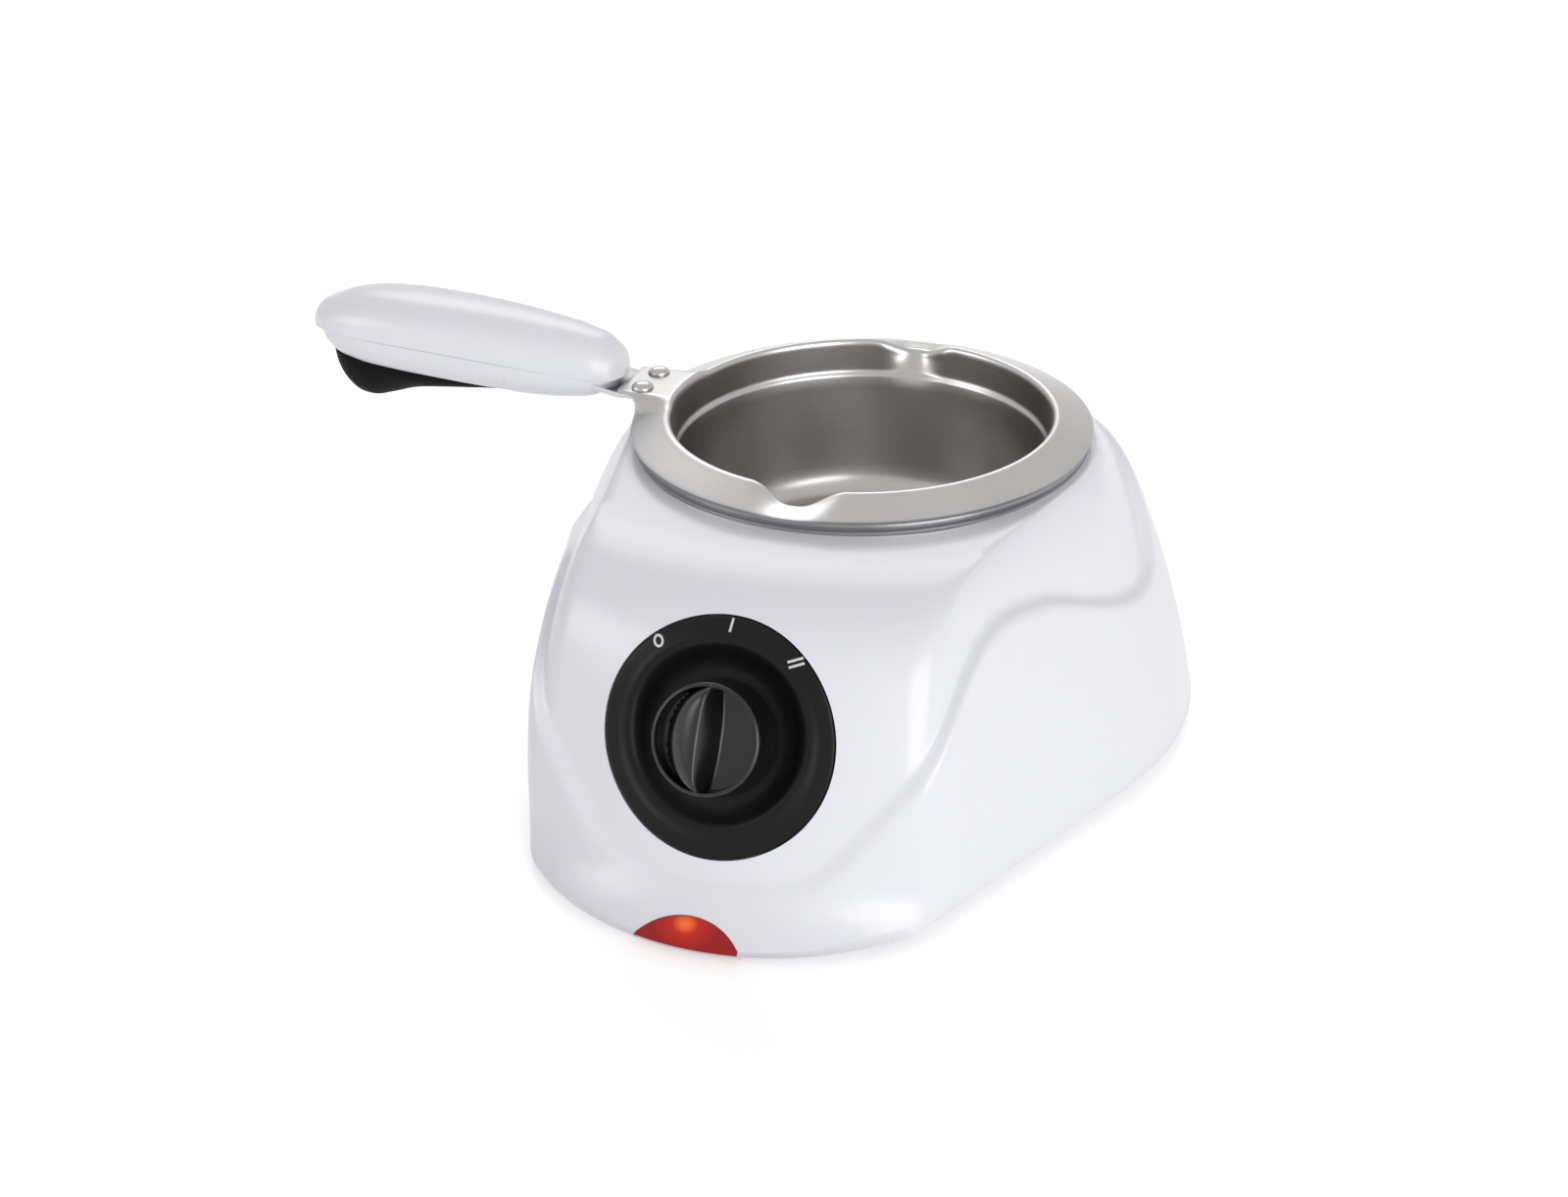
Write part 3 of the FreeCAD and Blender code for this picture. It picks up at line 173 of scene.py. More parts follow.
def reach_at(profile, height):
    """Reach of a falling profile where it passes a height, or each of several heights."""
    low, high = np.zeros_like(height, float), np.ones_like(height, float)
    for step in range(BISECTIONS):
        middle = (low + high) / 2
        above = bezier(profile, middle)[1] > height
        low, high = np.where(above, middle, low), np.where(above, high, middle)
    return bezier(profile, low)[0]


def eased(places, values, place):
    """Smooth curve through points, read at one place or several."""
    places, values = np.asarray(places, float), np.asarray(values, float)
    slope = np.gradient(values, places)
    k = np.clip(np.searchsorted(places, place) - 1, 0, len(places) - 2)
    width = places[k + 1] - places[k]
    t = (place - places[k]) / width
    start = (1 + 2 * t) * (1 - t) ** 2 * values[k] + t * (1 - t) ** 2 * width * slope[k]
    return start + t * t * (3 - 2 * t) * values[k + 1] + t * t * (t - 1) * width * slope[k + 1]


def soft_step(low, high, value):
    """0 below low, 1 above high and a smooth rise between them."""
    t = np.clip((value - low) / (high - low), 0.0, 1.0)
    return t * t * (3 - 2 * t)


def wave_height(place):
    """Height of the skirt's wavy edge at a place along Y."""
    points = [WAVE_TURNS[0]]
    for start, end, shares in zip(WAVE_TURNS, WAVE_TURNS[1:], WAVE_SHARES):
        for along, up in shares:
            points.append((start[0] + along * (end[0] - start[0]), start[1] + up * (end[1] - start[1])))
        points.append(end)
    return eased(*zip(*points), place)


def grown(law, rise):
    """A radius or bearing that changes with the height above the foot, up to a limit where it has one."""
    value = law[0] + law[1] * rise
    if len(law) < 3:
        return value
    return np.minimum(value, law[2]) if law[1] > 0 else np.maximum(value, law[2])


def plan(height, rear, nose, inset=0.0):
    """Outline of the housing's right half: for each column the place at its own height."""
    rise = height - FOOT_HEIGHT
    nose_radius = grown(NOSE_RADIUS, rise) - inset
    corner = grown(CORNER_RADIUS, rise) - inset
    bearing = np.radians(grown(FLANK_BEARING, rise))
    rear, nose = rear - inset, nose - inset
    out_x, out_y = np.sin(bearing), -np.cos(bearing)
    ahead_x, ahead_y = -np.cos(bearing), -np.sin(bearing)
    centre = nose_radius - nose
    start_x, start_y = out_x * (rear - corner), out_y * (rear - corner)
    along = start_x * ahead_x + (start_y - centre) * ahead_y
    square = start_x**2 + (start_y - centre) ** 2 - (nose_radius - corner) ** 2
    run = np.sqrt(along**2 - square) - along
    corner_x, corner_y = start_x + ahead_x * run, start_y + ahead_y * run
    nose_turn = np.arctan2(corner_x, centre - corner_y)
    turn = COLUMN_SHARE * nose_turn
    bend = nose_turn + COLUMN_SHARE * (bearing - nose_turn)
    sweep = bearing + COLUMN_SHARE * (np.pi - bearing)
    flank_x, flank_y = corner_x + out_x * corner, corner_y + out_y * corner
    x = np.choose(COLUMN_KIND, (
        nose_radius * np.sin(turn), corner_x + corner * np.sin(bend),
        flank_x + COLUMN_SHARE * (out_x * rear - flank_x), rear * np.sin(sweep),
    ))
    y = np.choose(COLUMN_KIND, (
        centre - nose_radius * np.cos(turn), corner_y - corner * np.cos(bend),
        flank_y + COLUMN_SHARE * (out_y * rear - flank_y), -rear * np.cos(sweep),
    ))
    return x, y


def bell(height, inset=0.0):
    return plan(height, reach_at(SIDE_PROFILE, height), reach_at(NOSE_PROFILE, height), inset)


def skirt_nose(height):
    """Reach of the skirt at the nose, flared near the table."""
    foot = np.maximum(0.0, FLARE_TOP - height) / (FLARE_TOP - FOOT_HEIGHT)
    return reach_at(NOSE_PROFILE, height) + SKIRT_NOSE_PROUD + FLARE * foot**2


def skirt(height, inset=0.0):
    return plan(height, reach_at(SIDE_PROFILE, height) + SKIRT_PROUD, skirt_nose(height), inset)


def front_face(reach, x, height):
    """Place along Y of the nose's face at a place across and a height."""
    radius = grown(NOSE_RADIUS, height - FOOT_HEIGHT)
    return radius - reach - np.sqrt(radius**2 - x**2)


def wave_on_skirt():
    """Height at which each column of the skirt meets the wavy edge."""
    column = np.arange(len(COLUMN_KIND))
    tries = np.linspace(FOOT_HEIGHT + WAVE_SEARCH_START, WAVE_TURNS[-1][1] + SKIRT_PROUD, WAVE_SEARCH_STEPS)
    over = np.array([z - wave_height(skirt(np.full(len(column), z))[1]) for z in tries])
    first = (over > 0).argmax(axis=0)
    share = -over[first - 1, column] / (over[first, column] - over[first - 1, column])
    return tries[first - 1] + share * (tries[first] - tries[first - 1])


def both_halves(x, y, z):
    """Ring of points from a right half that starts and ends on the plane of symmetry."""
    right = np.stack((x, y, z * np.ones_like(x)), axis=1)
    left = right[-2:0:-1] * (-1, 1, 1)
    return np.concatenate((right, left))


def housing_rings():
    """Rings of the housing's skin: up the outside, over the lip, down the inside and round the seat."""
    edge = wave_on_skirt()
    softness = 1.0 + SOFT_LEDGE_GAIN * soft_step(*SOFT_LEDGE, -skirt(edge)[1])
    floor = FOOT_HEIGHT * np.ones_like(edge)
    rings = [both_halves(*skirt(floor, inset), floor + lift) for inset, lift in FOOT_EDGE]
    low, high = floor + FOOT_EDGE[-1][1], edge + LEDGE[0][1] * softness
    for share in np.arange(1, SKIRT_RINGS) / SKIRT_RINGS:
        height = low + (high - low) * share
        rings.append(both_halves(*skirt(height), height))
    for step, lift in LEDGE:
        height = edge + lift * softness
        inner, outer = np.array(bell(height)), np.array(skirt(height))
        rings.append(both_halves(*(inner + step * (outer - inner)), height))
    low = edge + LEDGE[-1][1] * softness
    for share in np.arange(1, BELL_RINGS + 1) / BELL_RINGS:
        height = MOUTH_HEIGHT - (MOUTH_HEIGHT - low) * (1 - share) ** BELL_CROWDING
        rings.append(both_halves(*bell(height), height))
    brim = np.array(bell(MOUTH_HEIGHT * np.ones_like(edge)))
    circle = brim / np.hypot(*brim)
    for share, drop in LIP:
        radius = MOUTH_RADIUS + share * (np.hypot(*brim) - MOUTH_RADIUS)
        rings.append(both_halves(*(circle * radius), MOUTH_HEIGHT - drop))
    fall = MOUTH_HEIGHT - SEAT_HEIGHT
    for height in MOUTH_HEIGHT - fall * (np.arange(INNER_RINGS + 1) / INNER_RINGS) ** INNER_CROWDING:
        level = height * np.ones_like(edge)
        drop = WALL * (height - SEAT_HEIGHT) / fall
        rings.append(both_halves(*bell(level, WALL), height - drop))
    rings += [both_halves(*skirt(floor, SEAT_INSET), height) for height in (SEAT_HEIGHT, FOOT_HEIGHT)]
    return rings


# Modelling helpers in metres, or in millimetres where they say so
MERGE_DISTANCE = 1e-6
WELD_DISTANCE = 2e-6
FLAT_ANGLE = math.radians(0.2)


def deselect():
    bpy.ops.object.select_all(action="DESELECT")


def activate(piece):
    deselect()
    piece.select_set(True)
    bpy.context.view_layer.objects.active = piece


def new_object(name, mesh):
    piece = bpy.data.objects.new(name, mesh)
    bpy.context.scene.collection.objects.link(piece)
    return piece


@contextmanager
def all_in_edit_mode(piece):
    """Edit mode with the whole piece selected."""
    activate(piece)
    bpy.ops.object.mode_set(mode="EDIT")
    bpy.ops.mesh.select_all(action="SELECT")
    yield
    bpy.ops.object.mode_set(mode="OBJECT")


def change(piece, kind, **values):
    """Give a piece a modifier with these values and apply it."""
    modifier = piece.modifiers.new(kind.lower(), kind)
    for label, value in values.items():
        setattr(modifier, label, value)
    activate(piece)
    bpy.ops.object.modifier_apply(modifier=modifier.name)


def smooth(piece, angle):
    activate(piece)
    bpy.ops.object.shade_smooth_by_angle(angle=math.radians(angle))


def welded_copy(node, name):
    """Copy of a construction piece with its corners welded and its flat faces made whole."""
    mesh = frame["nodes"][node].data.copy()
    mesh.materials.clear()
    piece = new_object(name, mesh)
    with all_in_edit_mode(piece):
        bpy.ops.mesh.remove_doubles(threshold=WELD_DISTANCE)
        bpy.ops.mesh.dissolve_limited(angle_limit=FLAT_ANGLE)
    return piece


def round_edges(piece, width, angle, segments=2):
    change(piece, "BEVEL", width=width, segments=segments, limit_method="ANGLE",
           angle_limit=math.radians(angle), use_clamp_overlap=True)


def put_on(piece, material):
    piece.data.materials.clear()
    piece.data.materials.append(material)


def seat(piece, body, material, slot, *nodes):
    """Put a piece's material on, tie it to its body and let it stand for its construction nodes."""
    put_on(piece, material)
    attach(piece, body)
    if nodes:
        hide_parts(*nodes)


def clean_skin(piece):
    """Merge doubled points and turn all faces outwards."""
    with all_in_edit_mode(piece):
        bpy.ops.mesh.remove_doubles(threshold=MERGE_DISTANCE)
        bpy.ops.mesh.normals_make_consistent(inside=False)


def shaped_grid(name, rings, loop=True, cyclic=False):
    """Grid bent to rings of points in millimetres; loop closes each ring, cyclic joins last to first."""
    points = np.array(rings, float) * MM
    if loop:
        points = np.concatenate((points, points[:, :1]), axis=1)
    if cyclic:
        points = np.concatenate((points, points[:1]))
    rows, columns = points.shape[:2]
    deselect()
    bpy.ops.mesh.primitive_grid_add(x_subdivisions=columns - 1, y_subdivisions=rows - 1)
    piece = bpy.context.object
    piece.name = name
    piece.data.vertices.foreach_set("co", points.ravel())
    piece.data.update()
    clean_skin(piece)
    return piece


def turned(name, profile, steps, place=None):
    """Profile of (radius, height) in millimetres turned about Z, closed where it doesn't end on the axis."""
    count = len(profile)
    edges = [(k, k + 1) for k in range(count - 1)]
    if profile[0][0] > 0 or profile[-1][0] > 0:
        edges.append((count - 1, 0))
    mesh = bpy.data.meshes.new(name)
    mesh.from_pydata([(radius * MM, 0.0, height * MM) for radius, height in profile], edges, [])
    piece = new_object(name, mesh)
    with all_in_edit_mode(piece):
        bpy.ops.mesh.spin(steps=steps, angle=2 * math.pi, center=(0.0, 0.0, 0.0), axis=(0.0, 0.0, 1.0))
    clean_skin(piece)
    if place:
        piece.data.transform(place)
    return piece


def prism(name, outline, start, end):
    """Outline of (x, z) in millimetres drawn out along Y."""
    mesh = bpy.data.meshes.new(name)
    mesh.from_pydata([(x * MM, start * MM, z * MM) for x, z in outline], [], [list(range(len(outline)))])
    piece = new_object(name, mesh)
    with all_in_edit_mode(piece):
        bpy.ops.mesh.extrude_region_move(TRANSFORM_OT_translate={"value": (0.0, (end - start) * MM, 0.0)})
    clean_skin(piece)
    return piece


def rod(name, radius, start, end, steps):
    """Round bar between two points in millimetres."""
    start, end = Vector(start) * MM, Vector(end) * MM
    deselect()
    bpy.ops.mesh.primitive_cylinder_add(
        vertices=steps, radius=radius * MM, depth=(end - start).length, location=(start + end) / 2,
        rotation=(end - start).to_track_quat("Z", "Y").to_euler(),
    )
    piece = bpy.context.object
    piece.name = name
    bpy.ops.object.transform_apply()
    return piece


def joined(pieces):
    activate(pieces[0])
    for piece in pieces[1:]:
        piece.select_set(True)
    if len(pieces) > 1:
        bpy.ops.object.join()
    return pieces[0]


def combine(piece, tools, operation):
    """Add the tools to the piece, or cut it with them, in one Boolean."""
    tool = joined(tools)
    change(piece, "BOOLEAN", operation=operation, solver="MANIFOLD", object=tool)
    bpy.data.objects.remove(tool)


def face_along(piece, direction):
    """Turn an open skin over where it faces away from a direction."""
    facing = sum((face.normal * face.area for face in piece.data.polygons), Vector())
    if facing.dot(direction) < 0:
        with all_in_edit_mode(piece):
            bpy.ops.mesh.flip_normals()


def thicken(piece, wall):
    """Give an open skin a wall behind it, in millimetres."""
    change(piece, "SOLIDIFY", thickness=wall * MM, offset=-1.0)


def close_ends(piece):
    with all_in_edit_mode(piece):
        bpy.ops.mesh.fill_holes(sides=0)
        bpy.ops.mesh.normals_make_consistent(inside=False)


# Shader groups

def new_group(name, inputs):
    """Group with these inputs that gives a colour, a roughness and a normal."""
    group = bpy.data.node_groups.new(name, "ShaderNodeTree")
    for label, value in inputs.items():
        kind = "NodeSocketColor" if label == "Color" else "NodeSocketFloat"
        group.interface.new_socket(name=label, in_out="INPUT", socket_type=kind).default_value = value
    for label, kind in (("Color", "Color"), ("Roughness", "Float"), ("Normal", "Vector")):
        group.interface.new_socket(name=label, in_out="OUTPUT", socket_type="NodeSocket" + kind)
    return group, group.nodes.new("NodeGroupInput").outputs, group.nodes.new("NodeGroupOutput")


def feed(tree, value, socket):
    """Set a socket to a number, or link another socket to it."""
    if isinstance(value, (int, float)):
        socket.default_value = value
    else:
        tree.links.new(value, socket)


def math_node(tree, operation, *values):
    node = tree.nodes.new("ShaderNodeMath")
    node.operation = operation
    for socket, value in zip(node.inputs, values):
        feed(tree, value, socket)
    return node.outputs[0]


def noise_node(tree, place, scale, detail=2.0, roughness=0.5):
    """Noise over a place, or along a line where the place is one number."""
    node = tree.nodes.new("ShaderNodeTexNoise")
    node.noise_dimensions = "1D" if place.type == "VALUE" else "3D"
    node.inputs["Detail"].default_value = detail
    node.inputs["Roughness"].default_value = roughness
    tree.links.new(place, node.inputs["W" if place.type == "VALUE" else "Vector"])
    feed(tree, scale, node.inputs["Scale"])
    return node.outputs[0]


def length_node(tree, vector):
    node = tree.nodes.new("ShaderNodeVectorMath")
    node.operation = "LENGTH"
    tree.links.new(vector, node.inputs[0])
    return node.outputs["Value"]


def object_place(tree):
    return tree.nodes.new("ShaderNodeTexCoord").outputs["Object"]


def varied(group, middle, noise, spread):
    """Value that a noise moves up and down by a spread."""
    shift = math_node(group, "MULTIPLY", math_node(group, "SUBTRACT", noise, 0.5), spread)
    return math_node(group, "ADD", middle, shift)


def tinted(group, color, level, share):
    """Colour multiplied by a grey level, by a share of its strength."""
    tone = group.nodes.new("ShaderNodeMix")
    tone.data_type = "RGBA"
    tone.blend_type = "MULTIPLY"
    tone.inputs["Factor"].default_value = share
    grey = group.nodes.new("ShaderNodeCombineColor")
    for channel in grey.inputs[:3]:
        group.links.new(level, channel)
    group.links.new(color, tone.inputs["A"])
    group.links.new(grey.outputs[0], tone.inputs["B"])
    return tone.outputs["Result"]


def give(group, made, color, rough, height, depth):
    """Link what a group has made to its outputs, with a bump from a height and its depth."""
    bump = group.nodes.new("ShaderNodeBump")
    group.links.new(height, bump.inputs["Height"])
    group.links.new(depth, bump.inputs["Distance"])
    for source, label in ((color, "Color"), (rough, "Roughness"), (bump.outputs["Normal"], "Normal")):
        group.links.new(source, made.inputs[label])
    return group


def moulded_skin():
    """Faint unevenness of moulded plastic: tint, gloss and a fine grain."""
    group, given, made = new_group("moulded_skin", {
        "Color": (0.8, 0.8, 0.8, 1.0), "Tint Spread": 0.03, "Roughness": 0.2, "Roughness Spread": 0.05,
        "Grain Scale": 1800.0, "Grain Depth": 0.00001,
    })
    place = object_place(group)
    broad = noise_node(group, place, scale=18.0, detail=3.0)
    fine = noise_node(group, place, given["Grain Scale"])
    level = varied(group, 1.0, broad, given["Tint Spread"])
    tone = tinted(group, given["Color"], level, share=1.0)
    rough = varied(group, given["Roughness"], broad, given["Roughness Spread"])
    return give(group, made, tone, rough, fine, given["Grain Depth"])


def spun_metal():
    """Fine rings left by spinning about the pot's axis, with light rubbing marks."""
    group, given, made = new_group("spun_metal", {
        "Color": (0.7, 0.7, 0.7, 1.0), "Roughness": 0.25, "Roughness Spread": 0.15,
        "Ring Scale": 2500.0, "Ring Depth": 0.00001,
    })
    place = object_place(group)
    apart = group.nodes.new("ShaderNodeSeparateXYZ")
    group.links.new(place, apart.inputs[0])
    across, along = [math_node(group, "POWER", apart.outputs[k], 2.0) for k in (0, 1)]
    radius = math_node(group, "SQRT", math_node(group, "ADD", across, along))
    profile = math_node(group, "SUBTRACT", radius, apart.outputs[2])
    ring = noise_node(group, profile, given["Ring Scale"], detail=3.0)
    broad = noise_node(group, place, scale=60.0, detail=4.0, roughness=0.6)
    both = math_node(group, "MULTIPLY", math_node(group, "ADD", ring, broad), 0.5)
    tone = tinted(group, given["Color"], math_node(group, "ADD", both, 0.5), share=0.35)
    rough = varied(group, given["Roughness"], both, given["Roughness Spread"])
    return give(group, made, tone, rough, ring, given["Ring Depth"])


# Finishes; a name in place of a value stands for the setting of that name
MOULDED_VALUES = ("Color", "Roughness", "Roughness Spread", "Tint Spread", "Grain Scale", "Grain Depth")
MOULDED = {
    "white_gloss": ("white", 0.3, 0.03, 0.012, 420.0, "skin_grain"),
    "black_satin": ("black", 0.36, 0.05, 0.2, 2600.0, 0.000006),
    "black_knob": ("black", 0.24, 0.04, 0.2, 2600.0, 0.000004),
    "black_grip": ("black", 0.6, 0.08, 0.2, 2200.0, 0.00002),
    "rubber_black": ((0.03, 0.03, 0.032, 1.0), 0.62, 0.1, 0.2, 1500.0, 0.00004),
    "base_grey": ((0.62, 0.63, 0.65, 1.0), 0.42, 0.08, 0.05, 1500.0, 0.00003),
    "switch_brown": ((0.06, 0.045, 0.035, 1.0), 0.45, 0.08, 0.2, 1800.0, 0.00001),
    "mica_brown": ((0.42, 0.33, 0.2, 1.0), 0.35, 0.15, 0.4, 400.0, 0.00001),
    "print_white": ((0.66, 0.66, 0.67, 1.0), 0.4, 0.05, 0.05, 1800.0, 0.00001),
}
SPUN_VALUES = ("Color", "Roughness", "Roughness Spread", "Ring Scale", "Ring Depth")
SPUN = {
    "pot_aluminium": ("metal", 0.3, 0.1, 2200.0, 0.000002),
    # The collar's colour is darkened to paint the shade that falls under the pot's flange
    "collar_metal_painted_shade": ((0.24, 0.24, 0.25, 1.0), 0.28, 0.12, 2500.0, 0.000004),
    "plain_steel": ((0.58, 0.58, 0.59, 1.0), 0.26, 0.12, 2500.0, 0.000004),
}
SHADER_VALUES = {
    "white_gloss": {"Coat Weight": 0.1, "Coat Roughness": 0.2},
    "black_satin": {"Specular IOR Level": 0.16},
    "black_knob": {"Specular IOR Level": 0.45},
    "black_grip": {"Specular IOR Level": 0.05},
}

# The lamp's glow behind the lens: its middle and half sizes in metres, and its colours by distance
GLOW_MIDDLE = (-0.0012, 0.0, 0.0062)
GLOW_HALF_SIZES = (0.0085, 1.0, 0.0036)
GLOW_HALO = (0.32, 0.012, 0.0, 1.0)
GLOW_HALO_PLACE = 0.4
GLOW_END = (0.05, 0.0, 0.0, 1.0)
GLOW_STRENGTH = 0.8


def set_values(sockets, values):
    finish = settings()[1]
    for label, value in values.items():
        sockets[label].default_value = getattr(finish, value) if isinstance(value, str) else value


def named_material(name, dress, *values):
    """The material of this name, made and dressed when it is first asked for."""
    found = bpy.data.materials.get(name)
    if not found:
        found = bpy.data.materials.new(name)
        found.use_nodes = True
        dress(found.node_tree, found.node_tree.nodes["Principled BSDF"], *values)
    return found


def dress_surface(tree, bsdf, builder, values, shader):
    """Colour, roughness and normal from a shared group, and the shader's own values."""
    skin = tree.nodes.new("ShaderNodeGroup")
    skin.node_tree = bpy.data.node_groups.get(builder.__name__) or builder()
    set_values(skin.inputs, values)
    for source, target in (("Color", "Base Color"), ("Roughness", "Roughness"), ("Normal", "Normal")):
        tree.links.new(skin.outputs[source], bsdf.inputs[target])
    set_values(bsdf.inputs, shader)


def dress_glass(tree, bsdf):
    """Clear glass of the lamp's tube."""
    set_values(bsdf.inputs, {
        "Base Color": (1.0, 0.6, 0.35, 1.0), "Roughness": 0.05, "Transmission Weight": 1.0,
    })


def dress_lens(tree, bsdf):
    """Red moulded lens with a warm glow of the lamp near its middle."""
    set_values(bsdf.inputs, {
        "Base Color": "lens", "Roughness": 0.1, "Specular IOR Level": 0.3, "Emission Strength": GLOW_STRENGTH,
    })
    shift = tree.nodes.new("ShaderNodeMapping")
    shift.vector_type = "TEXTURE"
    set_values(shift.inputs, {"Location": GLOW_MIDDLE, "Scale": GLOW_HALF_SIZES})
    tree.links.new(object_place(tree), shift.inputs["Vector"])
    ramp = tree.nodes.new("ShaderNodeValToRGB")
    ramp.color_ramp.elements[0].color = settings()[1].glow
    ramp.color_ramp.elements[1].color = GLOW_END
    ramp.color_ramp.elements.new(GLOW_HALO_PLACE).color = GLOW_HALO
    tree.links.new(length_node(tree, shift.outputs[0]), ramp.inputs[0])
    tree.links.new(ramp.outputs[0], bsdf.inputs["Emission Color"])


def moulded(name):
    values = dict(zip(MOULDED_VALUES, MOULDED[name]))
    return named_material(name, dress_surface, moulded_skin, values, SHADER_VALUES.get(name, {}))


def spun(name):
    values = dict(zip(SPUN_VALUES, SPUN[name]))
    return named_material(name, dress_surface, spun_metal, values, {"Metallic": 1.0})


# Places on the panel, in the dial's own frame
PANEL_SEARCH = (-20.0, 8.0)


def dial_place():
    """Frame of the dial: X across, Y up the slope, Z out of the panel, at the knob's hinge."""
    hinge = next(joint for joint in frame["joints"] if joint["name"] == "knob_turn")
    across, out = Vector((1, 0, 0)), Vector(hinge["axis"]).normalized()
    place = Matrix((across, out.cross(across), out)).transposed().to_4x4()
    place.translation = Vector(hinge["pos_m"])
    return place


def panel_height(x, y):
    """Height of the panel over the dial's plane, in the dial's own frame in millimetres."""
    dial = dial_place()
    centre, up, out = dial.translation / MM, dial.col[1], dial.col[2]
    low, high = [end * np.ones_like(x) for end in PANEL_SEARCH]
    for step in range(BISECTIONS):
        middle = (low + high) / 2
        level = centre.z + y * up.z + middle * out.z
        face = front_face(reach_at(NOSE_PROFILE, level), x, level)
        behind = centre.y + y * up.y + middle * out.y > face
        low, high = np.where(behind, middle, low), np.where(behind, high, middle)
    return low


def round_ring(radius, height, steps):
    """Ring about Z; the height may be one number or one for each step."""
    turn = np.arange(steps) * 2 * np.pi / steps
    return np.stack((radius * np.cos(turn), radius * np.sin(turn), height * np.ones(steps)), axis=1)


def panel_ring(radius, lift, steps):
    """Ring in the dial's frame that follows the panel."""
    ring = round_ring(radius, 0.0, steps)
    ring[:, 2] = panel_height(ring[:, 0], ring[:, 1]) + lift
    return ring


# The lens in millimetres: across, and the heights of its lower edge and its top
LENS_HALF_WIDTH = 13.2
LENS_LOW = 2.9
LENS_TOP = 7.3


def lens_arch(x, half_width, low, top):
    """Upper edge of the lens: an arc from tip to tip."""
    rise = top - low
    radius = (half_width**2 + rise**2) / (2 * rise)
    return low + np.sqrt(radius**2 - x**2) - radius + rise


# Operators, one for each piece or group of like pieces

class FONDUE_OT_housing(bpy.types.Operator):
    """Moulded white housing with its dial pocket, lens opening, screw bosses and inlet"""
    bl_idname = "fondue.housing"
    bl_label = "Housing"

    dial_radius = 28.3
    pocket_wall = 2.2
    pocket_floor = -7.0
    pocket_front = 14.0
    bush_radius = 5.0
    steps = 128
    bosses = ((65.5, -52.0), (55.0, 55.0))
    boss_radius = 4.5
    boss_top = 26.0
    boss_gap = 0.1
    boss_steps = 32
    bore_radius = 1.5
    bore_top = 14.0
    bore_steps = 24
    inlet_radius = 6.45
    inlet_height = 16.0
    inlet_span = (72.0, 110.0)
    inlet_steps = 48
    lens_clearance = 0.12
    lens_cut_span = (-10.0, 16.0)
    lens_cut_steps = 41

    def pocket_cup(self):
        radius = self.dial_radius + self.pocket_wall
        back = self.pocket_floor - self.pocket_wall
        rings = [round_ring(0.0, back, self.steps), round_ring(radius, back, self.steps),
                 panel_ring(radius, -WALL / 2, self.steps), round_ring(0.0, -WALL, self.steps)]
        cup = shaped_grid("pocket_cup", rings)
        cup.data.transform(dial_place())
        return cup

    def pocket_cut(self):
        front, back = self.pocket_front, self.pocket_floor - 2 * self.pocket_wall
        profile = ((0.0, back), (self.bush_radius, back), (self.bush_radius, self.pocket_floor),
                   (self.dial_radius, self.pocket_floor), (self.dial_radius, front), (0.0, front))
        return turned("pocket_cut", profile, self.steps, dial_place())

    def lens_cut(self):
        tip = LENS_HALF_WIDTH + self.lens_clearance
        x = np.linspace(-tip, tip, self.lens_cut_steps)
        top = lens_arch(x, tip, LENS_LOW - self.lens_clearance, LENS_TOP + self.lens_clearance)
        start, end = [depth - float(skirt_nose(FOOT_HEIGHT)) for depth in self.lens_cut_span]
        return prism("lens_cut", list(zip(x, top)), start, end)

    def boss_places(self):
        return [(side * x, y) for x, y in self.bosses for side in (-1, 1)]

    def execute(self, context):
        piece = shaped_grid("housing_shell", housing_rings(), cyclic=True)
        adders = [self.pocket_cup()]
        cutters = [self.pocket_cut(), self.lens_cut()]
        for x, y in self.boss_places():
            boss = (x, y, SEAT_HEIGHT + self.boss_gap), (x, y, self.boss_top)
            bore = (x, y, 0.0), (x, y, self.bore_top)
            adders.append(rod("boss", self.boss_radius, *boss, self.boss_steps))
            cutters.append(rod("bore", self.bore_radius, *bore, self.bore_steps))
        inlet = [(0.0, y, self.inlet_height) for y in self.inlet_span]
        cutters.append(rod("inlet_cut", self.inlet_radius, *inlet, self.inlet_steps))
        combine(piece, adders, "UNION")
        combine(piece, cutters, "DIFFERENCE")
        smooth(piece, angle=40.0)
        seat(piece, "base", moulded("white_gloss"), "white_plastic", "housing")
        return {"FINISHED"}


